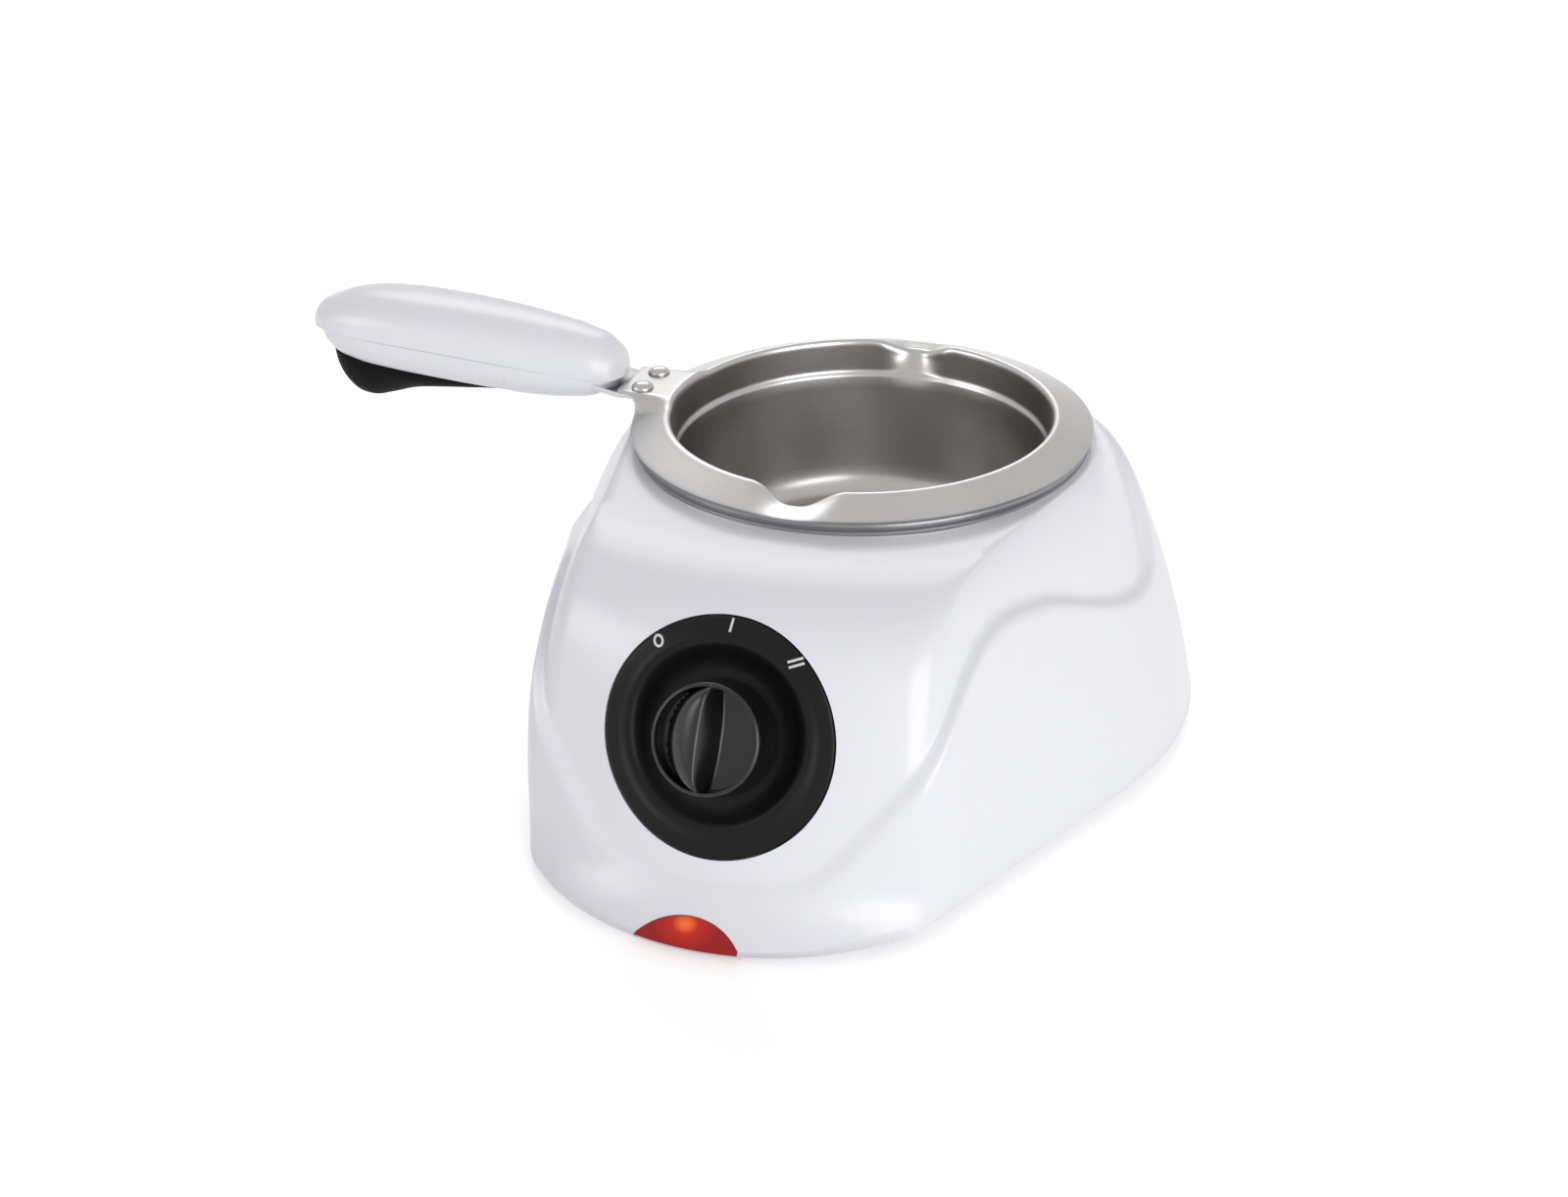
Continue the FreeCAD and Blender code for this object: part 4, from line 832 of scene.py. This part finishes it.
class FONDUE_OT_dial(bpy.types.Operator):
    """Black dial dish with its printed marks"""
    bl_idname = "fondue.dial"
    bl_label = "Dial"

    radius = 28.0
    back = -6.7
    hole_radius = 8.9
    dish_radius = 15.5
    dish_depth = 4.5
    dish_power = 1.7
    brim_radius = 22.3
    brim_blend = (-4.2, 2.4)
    rim = ((0.0, 0.5), (0.12, 0.15), (0.45, 0.0))
    ring_start = 27.0
    ring_spacing = 0.42
    steps = 160
    mark_angles = (40.0, 0.0, -40.0)
    mark_leans = (-10.0, 0.0, -26.0)
    stroke = 0.58
    bar_gap = 1.25
    bar_steps = 7
    high_length = 1.15
    zero_width = 0.4
    zero_steps = 40
    lift = 0.06

    def dish(self, radius):
        """Height of the dish at a radius: a flat floor that sweeps up to the brim."""
        share = max(0.0, radius - self.dish_radius) / (self.brim_radius - self.dish_radius)
        return self.dish_depth * (share**self.dish_power - 1.0)

    def face_ring(self, radius):
        """Ring of the front: the panel's own form outside the brim and the dish inside it."""
        start, end = [self.brim_radius + shift for shift in self.brim_blend]
        inside = 1.0 - float(soft_step(start, end, radius))
        ring = panel_ring(radius, 0.0, self.steps)
        ring[:, 2] += inside * (self.dish(radius) - ring[:, 2])
        return ring

    def mark(self, outline, angle, lean, middle):
        """Print in the dial's frame: an outline leaned about its own middle and set at its place."""
        bearing, turn = math.radians(angle), math.radians(angle + lean)
        x, y = np.array(outline).T
        across = x * math.cos(turn) - y * math.sin(turn) - middle * math.sin(bearing)
        up = x * math.sin(turn) + y * math.cos(turn) + middle * math.cos(bearing)
        return np.stack((across, up, panel_height(across, up) + self.lift), axis=1)

    def bar(self, middle, angle, lean, length, shift):
        half = self.stroke / 2
        y = np.linspace(-length / 2, length / 2, self.bar_steps)
        return [self.mark([(shift - half, v), (shift + half, v)], angle, lean, middle) for v in y]

    def zero(self, middle, angle, lean, length):
        turn = np.arange(self.zero_steps) * 2 * np.pi / self.zero_steps
        rings = []
        for inset in (0.0, self.stroke):
            wide, tall = length * self.zero_width - inset, length / 2 - inset
            outline = np.stack((wide * np.cos(turn), tall * np.sin(turn)), axis=1)
            rings.append(self.mark(outline, angle, lean, middle))
        return rings

    def execute(self, context):
        place = dial_place()
        rings = [round_ring(radius, self.back, self.steps) for radius in (self.hole_radius, self.radius)]
        rings += [panel_ring(self.radius - inset, -drop, self.steps) for inset, drop in self.rim]
        face_radii = np.arange(self.ring_start, self.hole_radius, -self.ring_spacing)
        rings += [self.face_ring(radius) for radius in face_radii]
        rings.append(round_ring(self.hole_radius, -self.dish_depth, self.steps))
        dish = shaped_grid("dial_dish", rings, cyclic=True)
        dish.data.transform(place)
        smooth(dish, angle=40.0)
        seat(dish, "base", moulded("black_satin"), "black_plastic", "dial_plate")
        sizes = settings()[0]
        middle, length = sizes.mark_radius / MM, sizes.mark_length / MM
        off, low, high = zip(self.mark_angles, self.mark_leans)
        prints = [shaped_grid("mark_off", self.zero(middle, *off, length)),
                  shaped_grid("mark_low", self.bar(middle, *low, length, 0.0), loop=False)]
        for side in (-0.5, 0.5):
            bar = self.bar(middle, *high, length * self.high_length, side * self.bar_gap)
            prints.append(shaped_grid("mark_high", bar, loop=False))
        for mark in prints:
            mark.data.transform(place)
            face_along(mark, place.col[2].to_3d())
            seat(mark, "base", moulded("print_white"), "black_plastic")
        return {"FINISHED"}


class FONDUE_OT_knob(bpy.types.Operator):
    """Turning grip of the switch: rounded rim, two pockets and a ridge with one steep face"""
    bl_idname = "fondue.knob"
    bl_label = "Knob"

    radius = 13.0
    base_radius = 13.6
    base = -4.2
    top = 6.5
    rounding = 0.9
    crest = 9.3
    crest_fade = 12.5
    fade_power = 8
    floor = 3.0
    wall = (11.5, 12.0)
    wall_rings = 9
    rounding_rings = 8
    widest = 0.999
    blend = 0.45
    crest_line = (0.5, -1.5)
    steep_foot = (0.6, 2.3)
    soft_foot = 10.0
    soft_powers = (1.9, 0.62)
    ridge_blend = 0.1
    ring_spacing = 0.24
    steps = 288

    def soft_max(self, one, other, width):
        return (one + other + np.sqrt((one - other) ** 2 + width**2)) / 2

    def ridge(self, x, y):
        """Height of the ridge: a full soft flank to the left of the crest and a steep face to its right."""
        along = np.clip(np.abs(y) / self.wall[1], 0.0, self.widest)
        swell = np.sqrt(1 - along**2)
        crest = self.crest_line[0] + self.crest_line[1] * swell
        right = self.steep_foot[0] + self.steep_foot[1] * swell
        left = -self.soft_foot * swell
        out = np.clip((crest - x) / (crest - left), 0.0, 1.0)
        soft = (1 - out ** self.soft_powers[0]) ** self.soft_powers[1]
        steep = (right - x) / (right - crest)
        share = -self.soft_max(-soft, -steep, self.ridge_blend)
        fade = np.clip(np.abs(y) / self.crest_fade, 0.0, 1.0) ** self.fade_power
        height = self.top + (self.crest - self.top) * (1 - fade)
        return self.floor + (height - self.floor) * share

    def face_ring(self, radius):
        ring = round_ring(radius, 0.0, self.steps)
        rim = self.floor + (self.top - self.floor) * soft_step(*self.wall, radius)
        over = max(0.0, radius - self.radius + self.rounding)
        drop = self.rounding - math.sqrt(self.rounding**2 - over**2)
        ring[:, 2] = self.soft_max(rim, self.ridge(ring[:, 0], ring[:, 1]), self.blend) - drop
        return ring

    def execute(self, context):
        inner, outer = self.wall
        bend = self.radius - self.rounding
        radii = [*np.arange(0.0, inner, self.ring_spacing), *np.linspace(inner, outer, self.wall_rings)]
        turns = np.linspace(0.0, math.pi / 2, self.rounding_rings)
        radii += [bend + self.rounding * math.sin(turn) for turn in turns]
        rings = [self.face_ring(radius) for radius in radii]
        rings += [round_ring(self.base_radius, self.base, self.steps), round_ring(0.0, self.base, self.steps)]
        piece = shaped_grid("knob_grip", rings)
        piece.data.transform(dial_place())
        smooth(piece, angle=50.0)
        seat(piece, "knob", moulded("black_knob"), "black_plastic", "knob")
        return {"FINISHED"}


class FONDUE_OT_lens(bpy.types.Operator):
    """Red power lens that swells a little out of the housing's foot"""
    bl_idname = "fondue.lens"
    bl_label = "Lens"

    swell = 0.45
    thickness = 2.0
    columns = 57
    rows = 13

    def execute(self, context):
        x = LENS_HALF_WIDTH * np.sin(np.linspace(-math.pi / 2, math.pi / 2, self.columns))
        top = lens_arch(x, LENS_HALF_WIDTH, LENS_LOW, LENS_TOP)
        rings = []
        for share in np.linspace(0.0, 1.0, self.rows):
            level = LENS_LOW + (top - LENS_LOW) * share
            bulge = self.swell * (1 - (2 * share - 1) ** 2) * (1 - (x / LENS_HALF_WIDTH) ** 2)
            rings.append(np.stack((x, front_face(skirt_nose(level), x, level) - bulge, level), axis=1))
        piece = shaped_grid("power_lens", rings, loop=False)
        face_along(piece, Vector((0, -1, 0)))
        thicken(piece, self.thickness)
        round_edges(piece, width=0.00018, angle=50.0)
        smooth(piece, angle=40.0)
        seat(piece, "base", named_material("lens_glow", dress_lens), "red_lens", "lamp_lens")
        return {"FINISHED"}


class FONDUE_OT_pot(bpy.types.Operator):
    """Aluminium pot with two pouring lips and a riveting tab"""
    bl_idname = "fondue.pot"
    bl_label = "Pot"

    rim_radius = 61.0
    rim_height = 78.0
    crest_radius = 51.4
    crest_height = 81.5
    wall = 1.1
    floor_profile = ((0.0, 36.0), (12.0, 36.0), (24.0, 36.0), (34.0, 36.0), (38.8, 36.0))
    corner = ((41.2, 36.35), (43.3, 37.4), (45.0, 39.1), (46.2, 41.5), (46.8, 44.5))
    shoulder = ((49.0, 70.6), (49.15, 71.1), (49.5, 71.55), (49.8, 72.0), (49.92, 72.6))
    crest = ((50.3, 79.2), (50.34, 80.0), (50.52, 80.7), (50.92, 81.22), (51.5, 81.42), (52.2, 81.25))
    tab_end = 66.5
    tab_half_width = 9.0
    tab_fillet = 6.0
    tab_corner = 0.8
    tab_corner_turns = (30.0, 60.0, 90.0)
    tab_rise = 0.9
    lip_half_width = 12.5
    lip_depth = 3.5
    lip_push = 2.8
    lip_flat = 1.6
    lip_side = 20.0
    lip_start = 74.0
    lip_fade = 0.8
    pinch = (0.5, 9.375)
    pinch_levels = (68.0, 79.0)
    pinch_reach = 0.75
    tab_fade = (8.6, 15.0)
    tab_reach = (47.0, 52.0)
    tab_crest = (79.0, 81.4)
    flange_rings = 12
    wall_rings = (8, 9)
    edge_steps = (8, 12, 190)

    def rim_line(self):
        """Edge of flange and tab for one side, from the tab's middle to the far side."""
        end, half, corner, fillet = self.tab_end, self.tab_half_width, self.tab_corner, self.tab_fillet
        end_steps, fillet_steps, rim_steps = self.edge_steps
        line = [(-end, y) for y in np.linspace(0.0, half - corner, end_steps)]
        for turn in np.radians(self.tab_corner_turns):
            line.append((-end + corner - corner * math.cos(turn), half - corner + corner * math.sin(turn)))
        centre_y = half + fillet
        centre_x = -math.sqrt((self.rim_radius + fillet) ** 2 - centre_y**2)
        last = math.atan2(-centre_y, -centre_x)
        for turn in np.linspace(-math.pi / 2, last, fillet_steps):
            line.append((centre_x + fillet * math.cos(turn), centre_y + fillet * math.sin(turn)))
        start = math.atan2(line[-1][1], -line[-1][0])
        for turn in np.linspace(start, math.pi, rim_steps)[1:]:
            line.append((-self.rim_radius * math.cos(turn), self.rim_radius * math.sin(turn)))
        return np.array(line)

    def wall_profile(self):
        """Inner surface from the middle of the floor to the crest."""
        profile = list(self.floor_profile + self.corner)
        for stretch, count in zip((self.shoulder, self.crest), self.wall_rings):
            start, end = np.array(profile[-1]), np.array(stretch[0])
            profile += [tuple(start + (end - start) * share) for share in np.arange(1, count) / count]
            profile += list(stretch)
        return profile

    def slope(self):
        """Fall of the flange for each millimetre outwards."""
        return (self.crest_height - self.rim_height) / (self.rim_radius - self.crest_radius)

    def pulled(self, x, y, z, radius):
        """Pull a ring down and out at the two lips, and up level at the tab."""
        tab = (1 - soft_step(*self.tab_fade, np.abs(y))) * (x < 0) * soft_step(*self.tab_reach, radius)
        level = self.crest_height + self.tab_rise
        outer = radius > self.crest_radius
        z = np.where(outer, z + tab * (level - z), z + tab * self.tab_rise * soft_step(*self.tab_crest, z))
        beside = np.abs(y) > self.lip_side
        lip = (1 - soft_step(self.lip_flat, self.lip_half_width, np.abs(x))) * beside
        across = np.clip((radius - self.crest_radius) / (self.rim_radius - self.crest_radius), 0.0, 1.0)
        fall = self.lip_depth * (1 - self.lip_fade * across)
        z = z - lip * fall * soft_step(self.lip_start, self.crest_height, z + self.slope())
        pinch = (1 - soft_step(*self.pinch, np.abs(x))) * beside
        held = 1 - soft_step(0.0, self.pinch_reach, across)
        out = self.lip_push * pinch * soft_step(*self.pinch_levels, z) * held
        grow = (radius + out) / np.maximum(radius, 1e-6)
        return x * grow, y * grow, z

    def execute(self, context):
        half = self.rim_line()
        edge = np.concatenate((half, half[-2:0:-1] * (1, -1)))
        reach = np.hypot(*edge.T)
        along = edge / reach[:, None]
        rings = []
        for radius, height in self.wall_profile():
            x, y = (along * radius).T
            spread = np.full(len(x), radius)
            rings.append(np.stack(self.pulled(x, y, np.full(len(x), height), spread), axis=1))
        inner = self.crest[-1][0]
        for share in np.arange(1, self.flange_rings + 1) / self.flange_rings:
            radius = inner + (reach - inner) * share
            x, y = (along * radius[:, None]).T
            height = self.rim_height + (self.rim_radius - radius) * self.slope()
            rings.append(np.stack(self.pulled(x, y, height, radius), axis=1))
        piece = shaped_grid("pot_cup", rings)
        face_along(piece, Vector((0, 0, 1)))
        thicken(piece, self.wall)
        round_edges(piece, width=0.00028, segments=3, angle=50.0)
        smooth(piece, angle=45.0)
        seat(piece, "pot", spun("pot_aluminium"), "aluminium", "pot")
        return {"FINISHED"}


class FONDUE_OT_well(bpy.types.Operator):
    """Bright metal collar, coloured dark as painted shade under the pot's flange, and the heated well that the pot
    sits in
    """
    bl_idname = "fondue.well"
    bl_label = "Well and collar"

    ring = ((58.0, 74.8), (60.3, 74.8), (60.3, 76.85), (59.4, 76.85), (59.4, 75.8), (58.0, 75.8))
    outer_radius = 54.2
    inner_radius = 53.2
    floor_low = 33.3
    floor_high = 34.3
    corner = 6.0
    corner_steps = 9
    flange_radius = 60.0
    flange = (74.0, 74.8)
    mouth = ((0.6, 0.0), (0.15, 0.2), (0.0, 0.7))
    ring_steps = 192
    steps = 160

    def corner_line(self, radius, floor):
        """Round corner between a floor and the wall, about the axis they share."""
        centre = self.outer_radius - self.corner
        turn = np.linspace(-math.pi / 2, 0.0, self.corner_steps)
        return [(centre + radius * math.cos(t), floor + radius * (1 + math.sin(t))) for t in turn]

    def execute(self, context):
        collar = turned("collar_ring", self.ring, self.ring_steps)
        round_edges(collar, width=0.00025, angle=50.0)
        smooth(collar, angle=40.0)
        # The collar is coloured dark as painted shade under the pot's flange
        seat(collar, "base", spun("collar_metal_painted_shade"), "bright_metal", "well_collar")
        outside = self.corner_line(self.corner, self.floor_low)
        inside = self.corner_line(self.corner - (self.outer_radius - self.inner_radius), self.floor_high)
        low, high = self.flange
        lip = [(self.outer_radius, low), (self.flange_radius, low), (self.flange_radius, high)]
        lip += [(self.inner_radius + out, high - drop) for out, drop in self.mouth]
        profile = [(0.0, self.floor_low)] + outside + lip + inside[::-1] + [(0.0, self.floor_high)]
        well = turned("well_cup", profile, self.steps)
        smooth(well, angle=40.0)
        seat(well, "base", spun("pot_aluminium"), "aluminium", "heating_well")
        return {"FINISHED"}


class FONDUE_OT_rivets(bpy.types.Operator):
    """Domed rivets and the steel strip that they hold under the tab"""
    bl_idname = "fondue.rivets"
    bl_label = "Rivets and tang"

    place = 60.3
    spacing = 11.4
    steps = 48
    profile = ((0.0, 79.0), (2.9, 79.0), (2.9, 79.85), (1.85, 79.9), (1.85, 82.3), (2.95, 82.42), (3.0, 82.7),
               (2.8, 83.15), (2.35, 83.6), (1.7, 83.95), (0.9, 84.15), (0.0, 84.2))

    def execute(self, context):
        heads = []
        for side in (-1, 1):
            shift = Matrix.Translation((-self.place * MM, side * self.spacing / 2 * MM, 0.0))
            heads.append(turned("rivet_heads", self.profile, self.steps, shift))
        rivets = joined(heads)
        smooth(rivets, angle=40.0)
        seat(rivets, "pot", spun("pot_aluminium"), "aluminium", "pot_rivets")
        strip = welded_copy("handle_tang", "tang_strip")
        round_edges(strip, width=0.0002, angle=40.0)
        smooth(strip, angle=35.0)
        seat(strip, "pot", spun("plain_steel"), "steel", "handle_tang")
        return {"FINISHED"}


class FONDUE_OT_handle(bpy.types.Operator):
    """White handle shells and black insert"""
    bl_idname = "fondue.handle"
    bl_label = "Handle"

    seam_line = ((67.0, 83.2), (95.0, 87.5), (130.0, 91.6), (163.0, 90.4))
    stations = (0.0, 0.012, 0.045, 0.13, 0.26, 0.41, 0.57, 0.72, 0.84, 0.93, 0.98, 1.0)
    widths = (0.12, 0.36, 0.56, 0.75, 0.88, 0.96, 1.0, 0.985, 0.89, 0.68, 0.4, 0.14)
    rises = (0.2, 0.5, 0.76, 0.93, 0.98, 1.0, 0.99, 0.96, 0.86, 0.66, 0.42, 0.16)
    drops = (0.12, 0.3, 0.5, 0.72, 0.88, 0.97, 1.0, 0.98, 0.9, 0.7, 0.42, 0.14)
    half_width = 15.0
    upper = (67.5, 163.0, 11.0)
    lower = (70.0, 160.5, 12.0)
    seam_gap = 0.15
    shell = 2.0
    fullness = 0.85
    seat_start = 98.2
    seat_end = 158.0
    seat_line_start = 98.0
    seat_step = 0.01
    seat_drops = (8.6, 6.4)
    grip = (98.6, 157.8)
    grip_half_width = 11.5
    grip_depth = 14.0
    grip_gap = 0.05
    thinnest = 0.02
    seam_steps = 60
    shell_rings = 73
    grip_rings = 61
    side_steps = 19
    flat_steps = 9
    under_steps = 37
    grip_stations = (0.0, 0.06, 0.2, 0.38, 0.56, 0.7, 0.8, 0.88, 0.95, 1.0)
    grip_widths = (0.15, 0.5, 0.78, 0.93, 1.0, 1.0, 0.97, 0.86, 0.6, 0.2)
    grip_depths = (0.1, 0.2, 0.3, 0.44, 0.62, 0.86, 1.0, 0.95, 0.66, 0.2)

    def seam(self, x):
        return np.interp(x, *bezier(self.seam_line, np.linspace(0.0, 1.0, self.seam_steps)))

    def seat_level(self, x):
        """Height of the insert's flat seat at a distance out from the pot's axis."""
        places = (self.seat_line_start, self.seat_end)
        return np.interp(x, places, [self.seam(place) - drop for place, drop in zip(places, self.seat_drops)])

    def shares(self, count):
        """Stations from end to end, close together near the round ends."""
        return (1 - np.cos(np.linspace(0.0, math.pi, count))) / 2

    def section(self, x, half_width, rise, sense):
        """Closed outline of a shell at x: over its outside from edge to edge and back along its inside."""
        base = self.seam(x) + sense * self.seam_gap / 2
        outline = []
        for inset in (0.0, self.shell):
            wide, tall = [max(self.thinnest, size - inset) for size in (half_width, rise)]
            limit = tall
            if sense < 0 and x > self.seat_start:
                limit = min(tall, base - self.seat_level(x) - inset)
            side = np.linspace(0.0, math.asin((limit / tall) ** (1 / self.fullness)), self.side_steps)
            y, z = wide * np.cos(side) ** self.fullness, tall * np.sin(side) ** self.fullness
            flat = np.linspace(y[-1], -y[-1], self.flat_steps)[1:-1]
            y = np.concatenate((y, flat, -y[::-1]))
            z = base + sense * np.concatenate((z, np.full(len(flat), limit), z[::-1]))
            half = np.stack((np.full(len(y), -x), y, z), axis=1)
            outline.append(half if inset == 0.0 else half[::-1])
        return np.concatenate(outline)

    def shell_piece(self, name, span, heights, sense):
        start, end, rise = span
        places = start + self.shares(self.shell_rings) * (end - start)
        if sense < 0:
            either_side = [self.seat_start - self.seat_step, self.seat_start + self.seat_step]
            places = np.sort(np.append(places, either_side))
        rings = []
        for x in places:
            share = (x - start) / (end - start)
            half_width = eased(self.stations, self.widths, share) * self.half_width
            height = eased(self.stations, heights, share) * rise
            rings.append(self.section(x, half_width, height, sense))
        piece = shaped_grid(name, rings)
        close_ends(piece)
        round_edges(piece, width=0.0003, segments=3, angle=50.0)
        smooth(piece, angle=45.0)
        return piece

    def insert_piece(self):
        start, end = self.grip
        rings = []
        for share in self.shares(self.grip_rings):
            x = start + share * (end - start)
            wide = eased(self.grip_stations, self.grip_widths, share) * self.grip_half_width
            deep = eased(self.grip_stations, self.grip_depths, share) * self.grip_depth
            top = self.seat_level(x) - self.grip_gap
            turn = np.linspace(0.0, math.pi, self.under_steps)
            y, z = wide * np.cos(turn), top - deep * np.sin(turn)
            flat = np.linspace(-wide, wide, self.flat_steps)[1:-1]
            y, z = np.concatenate((y, flat)), np.concatenate((z, np.full(len(flat), top)))
            rings.append(np.stack((np.full(len(y), -x), y, z), axis=1))
        piece = shaped_grid("handle_insert", rings)
        close_ends(piece)
        smooth(piece, angle=50.0)
        return piece

    def execute(self, context):
        top = self.shell_piece("handle_top", self.upper, self.rises, 1)
        seat(top, "pot", moulded("white_gloss"), "white_plastic", "handle_upper_shell")
        bottom = self.shell_piece("handle_bottom", self.lower, self.drops, -1)
        seat(bottom, "pot", moulded("white_gloss"), "white_plastic", "handle_lower_shell")
        seat(self.insert_piece(), "pot", moulded("black_grip"), "black_plastic", "handle_grip")
        return {"FINISHED"}


class FONDUE_OT_small(bpy.types.Operator):
    """Feet, base plate, inlet bush and screws with softened edges"""
    bl_idname = "fondue.small"
    bl_label = "Feet, base and inlet"

    def execute(self, context):
        for node, name, body, material, slot, width in (
            ("feet", "foot_pads", "base", moulded("rubber_black"), "rubber", 0.0003),
            ("cord_gland", "inlet_bush", "base", moulded("rubber_black"), "rubber", 0.0003),
            ("bottom_cover", "base_plate", "base", moulded("base_grey"), "base_plastic", 0.0002),
            ("handle_screws", "grip_screws", "pot", spun("plain_steel"), "steel", 0.00015),
            ("cover_screws", "base_screws", "base", spun("plain_steel"), "steel", 0.00015),
        ):
            piece = welded_copy(node, name)
            round_edges(piece, width, angle=40.0)
            smooth(piece, angle=35.0)
            seat(piece, body, material, slot, node)
        return {"FINISHED"}


class FONDUE_OT_inner(bpy.types.Operator):
    """Finishes of the pieces under and inside the housing"""
    bl_idname = "fondue.inner"
    bl_label = "Base and inner pieces"

    def execute(self, context):
        finishes = {
            "rubber": moulded("rubber_black"), "base_plastic": moulded("base_grey"),
            "steel": spun("plain_steel"), "cast_aluminium": spun("pot_aluminium"),
            "mica": moulded("mica_brown"), "switch_plastic": moulded("switch_brown"),
            "lamp_glass": named_material("tube_glass", dress_glass),
        }
        slots = {part["node"]: part["material_slot"] for part in frame["record"]["subparts"]}
        for name, node in frame["nodes"].items():
            if not node.hide_render:
                put_on(node, finishes[slots[name]])
        return {"FINISHED"}


class FONDUE_OT_stage(bpy.types.Operator):
    """Camera, floor and soft studio light"""
    bl_idname = "fondue.stage"
    bl_label = "Stage"

    def execute(self, context):
        place_camera()
        place_floor()
        place_lights()
        return {"FINISHED"}


# Studio in metres and watts: light of the background, glow of the floor by distance, and the lamps
WORLD_LIGHT = 0.4
FLOOR_SIZE = 8.0
FLOOR_GLOW = {"From Min": 0.3, "From Max": 1.6, "To Min": 0.42, "To Max": 1.0}
LAMP_AIM = (0.0, 0.0, 0.05)
LAMPS = (
    ("key_light", (1.45, -1.2, 0.55), (1.4, 1.4), 24.0),
    ("fill_light", (-1.5, -1.05, 0.9), (0.8, 0.8), 6.5),
    ("rear_light", (-0.6, 1.4, 1.2), (1.2, 0.7), 7.0),
)
SENSOR_WIDTH = 36.0


def place_camera():
    view = settings()[2]
    flat, tilt = view.azimuth, view.elevation
    back = Vector((math.sin(flat) * math.cos(tilt), -math.cos(flat) * math.cos(tilt), math.sin(tilt)))
    right = Vector((math.cos(flat), math.sin(flat), 0.0))
    up = back.cross(right)
    turned_right = right * math.cos(view.roll) + up * math.sin(view.roll)
    turned_up = up * math.cos(view.roll) - right * math.sin(view.roll)
    deselect()
    bpy.ops.object.camera_add()
    camera = bpy.context.object
    camera.name = "photo_camera"
    place = Matrix((turned_right, turned_up, back)).transposed().to_4x4()
    place.translation = Vector(view.aim) + back * view.distance
    camera.matrix_world = place
    camera.data.sensor_width = SENSOR_WIDTH
    camera.data.lens = view.lens
    bpy.context.scene.camera = camera


def seen_rays(tree):
    """1 where the background is seen straight, mirrored or through glass, and 0 where it only lights."""
    path = tree.nodes.new("ShaderNodeLightPath")
    straight = math_node(tree, "MAXIMUM", path.outputs["Is Camera Ray"], path.outputs["Is Glossy Ray"])
    return math_node(tree, "MAXIMUM", straight, path.outputs["Is Transmission Ray"])


def dress_floor(tree, bsdf):
    """White table that glows more the farther it lies from the set, where it is seen."""
    set_values(bsdf.inputs, {
        "Base Color": (0.9, 0.9, 0.9, 1.0), "Roughness": 0.3, "Emission Color": (1.0, 1.0, 1.0, 1.0),
    })
    glow = tree.nodes.new("ShaderNodeMapRange")
    set_values(glow.inputs, FLOOR_GLOW)
    tree.links.new(length_node(tree, object_place(tree)), glow.inputs["Value"])
    seen_glow = math_node(tree, "MULTIPLY", glow.outputs[0], seen_rays(tree))
    tree.links.new(seen_glow, bsdf.inputs["Emission Strength"])


def place_floor():
    deselect()
    bpy.ops.mesh.primitive_plane_add(size=FLOOR_SIZE, location=(0.0, 0.0, 0.0))
    floor = bpy.context.object
    floor.name = "studio_floor"
    put_on(floor, named_material("studio_floor", dress_floor))


def add_lamp(name, place, size, power):
    """Rectangular lamp that shines at the set."""
    deselect()
    bpy.ops.object.light_add(type="AREA", location=place)
    lamp = bpy.context.object
    lamp.name = name
    lamp.data.shape = "RECTANGLE"
    lamp.data.size, lamp.data.size_y = size
    lamp.data.energy = power
    lamp.rotation_euler = (Vector(LAMP_AIM) - Vector(place)).to_track_quat("-Z", "Y").to_euler()


def place_lights():
    for lamp in LAMPS:
        add_lamp(*lamp)
    world = bpy.data.worlds.new("studio_world")
    bpy.context.scene.world = world
    world.use_nodes = True
    tree = world.node_tree
    background = tree.nodes["Background"]
    background.inputs["Color"].default_value = (1.0, 1.0, 1.0, 1.0)
    strength = math_node(tree, "MULTIPLY_ADD", seen_rays(tree), 1.0 - WORLD_LIGHT, WORLD_LIGHT)
    tree.links.new(strength, background.inputs["Strength"])
    bpy.context.scene.view_settings.view_transform = "Standard"


STEPS = (
    FONDUE_OT_stage,
    FONDUE_OT_housing,
    FONDUE_OT_dial,
    FONDUE_OT_knob,
    FONDUE_OT_lens,
    FONDUE_OT_pot,
    FONDUE_OT_well,
    FONDUE_OT_rivets,
    FONDUE_OT_handle,
    FONDUE_OT_small,
    FONDUE_OT_inner,
)


class FONDUE_PT_panel(bpy.types.Panel):
    """Steps and settings of the fondue set"""
    bl_label = "Fondue set"
    bl_idname = "FONDUE_PT_panel"
    bl_space_type = "VIEW_3D"
    bl_region_type = "UI"
    bl_category = "Fondue"

    def draw(self, context):
        for group in settings():
            for key in group.__annotations__:
                self.layout.prop(group, key)
        for step in STEPS:
            self.layout.operator(step.bl_idname)


SETTINGS = {"fondue_sizes": FondueSizes, "fondue_finish": FondueFinish, "fondue_view": FondueView}


def register():
    for group in SETTINGS.values():
        bpy.utils.register_class(group)
    for name, group in SETTINGS.items():
        setattr(bpy.types.Scene, name, PointerProperty(type=group))
    for item in STEPS + (FONDUE_PT_panel,):
        bpy.utils.register_class(item)


def unregister():
    for item in reversed(STEPS + (FONDUE_PT_panel,)):
        bpy.utils.unregister_class(item)
    for name, group in SETTINGS.items():
        delattr(bpy.types.Scene, name)
        bpy.utils.unregister_class(group)


def call_step(step):
    family, name = step.bl_idname.split(".")
    if getattr(getattr(bpy.ops, family), name)() != {"FINISHED"}:
        raise RuntimeError(step.bl_label + " didn't finish")


def main():
    register()
    for step in STEPS:
        call_step(step)


if __name__ == "__main__":
    main()
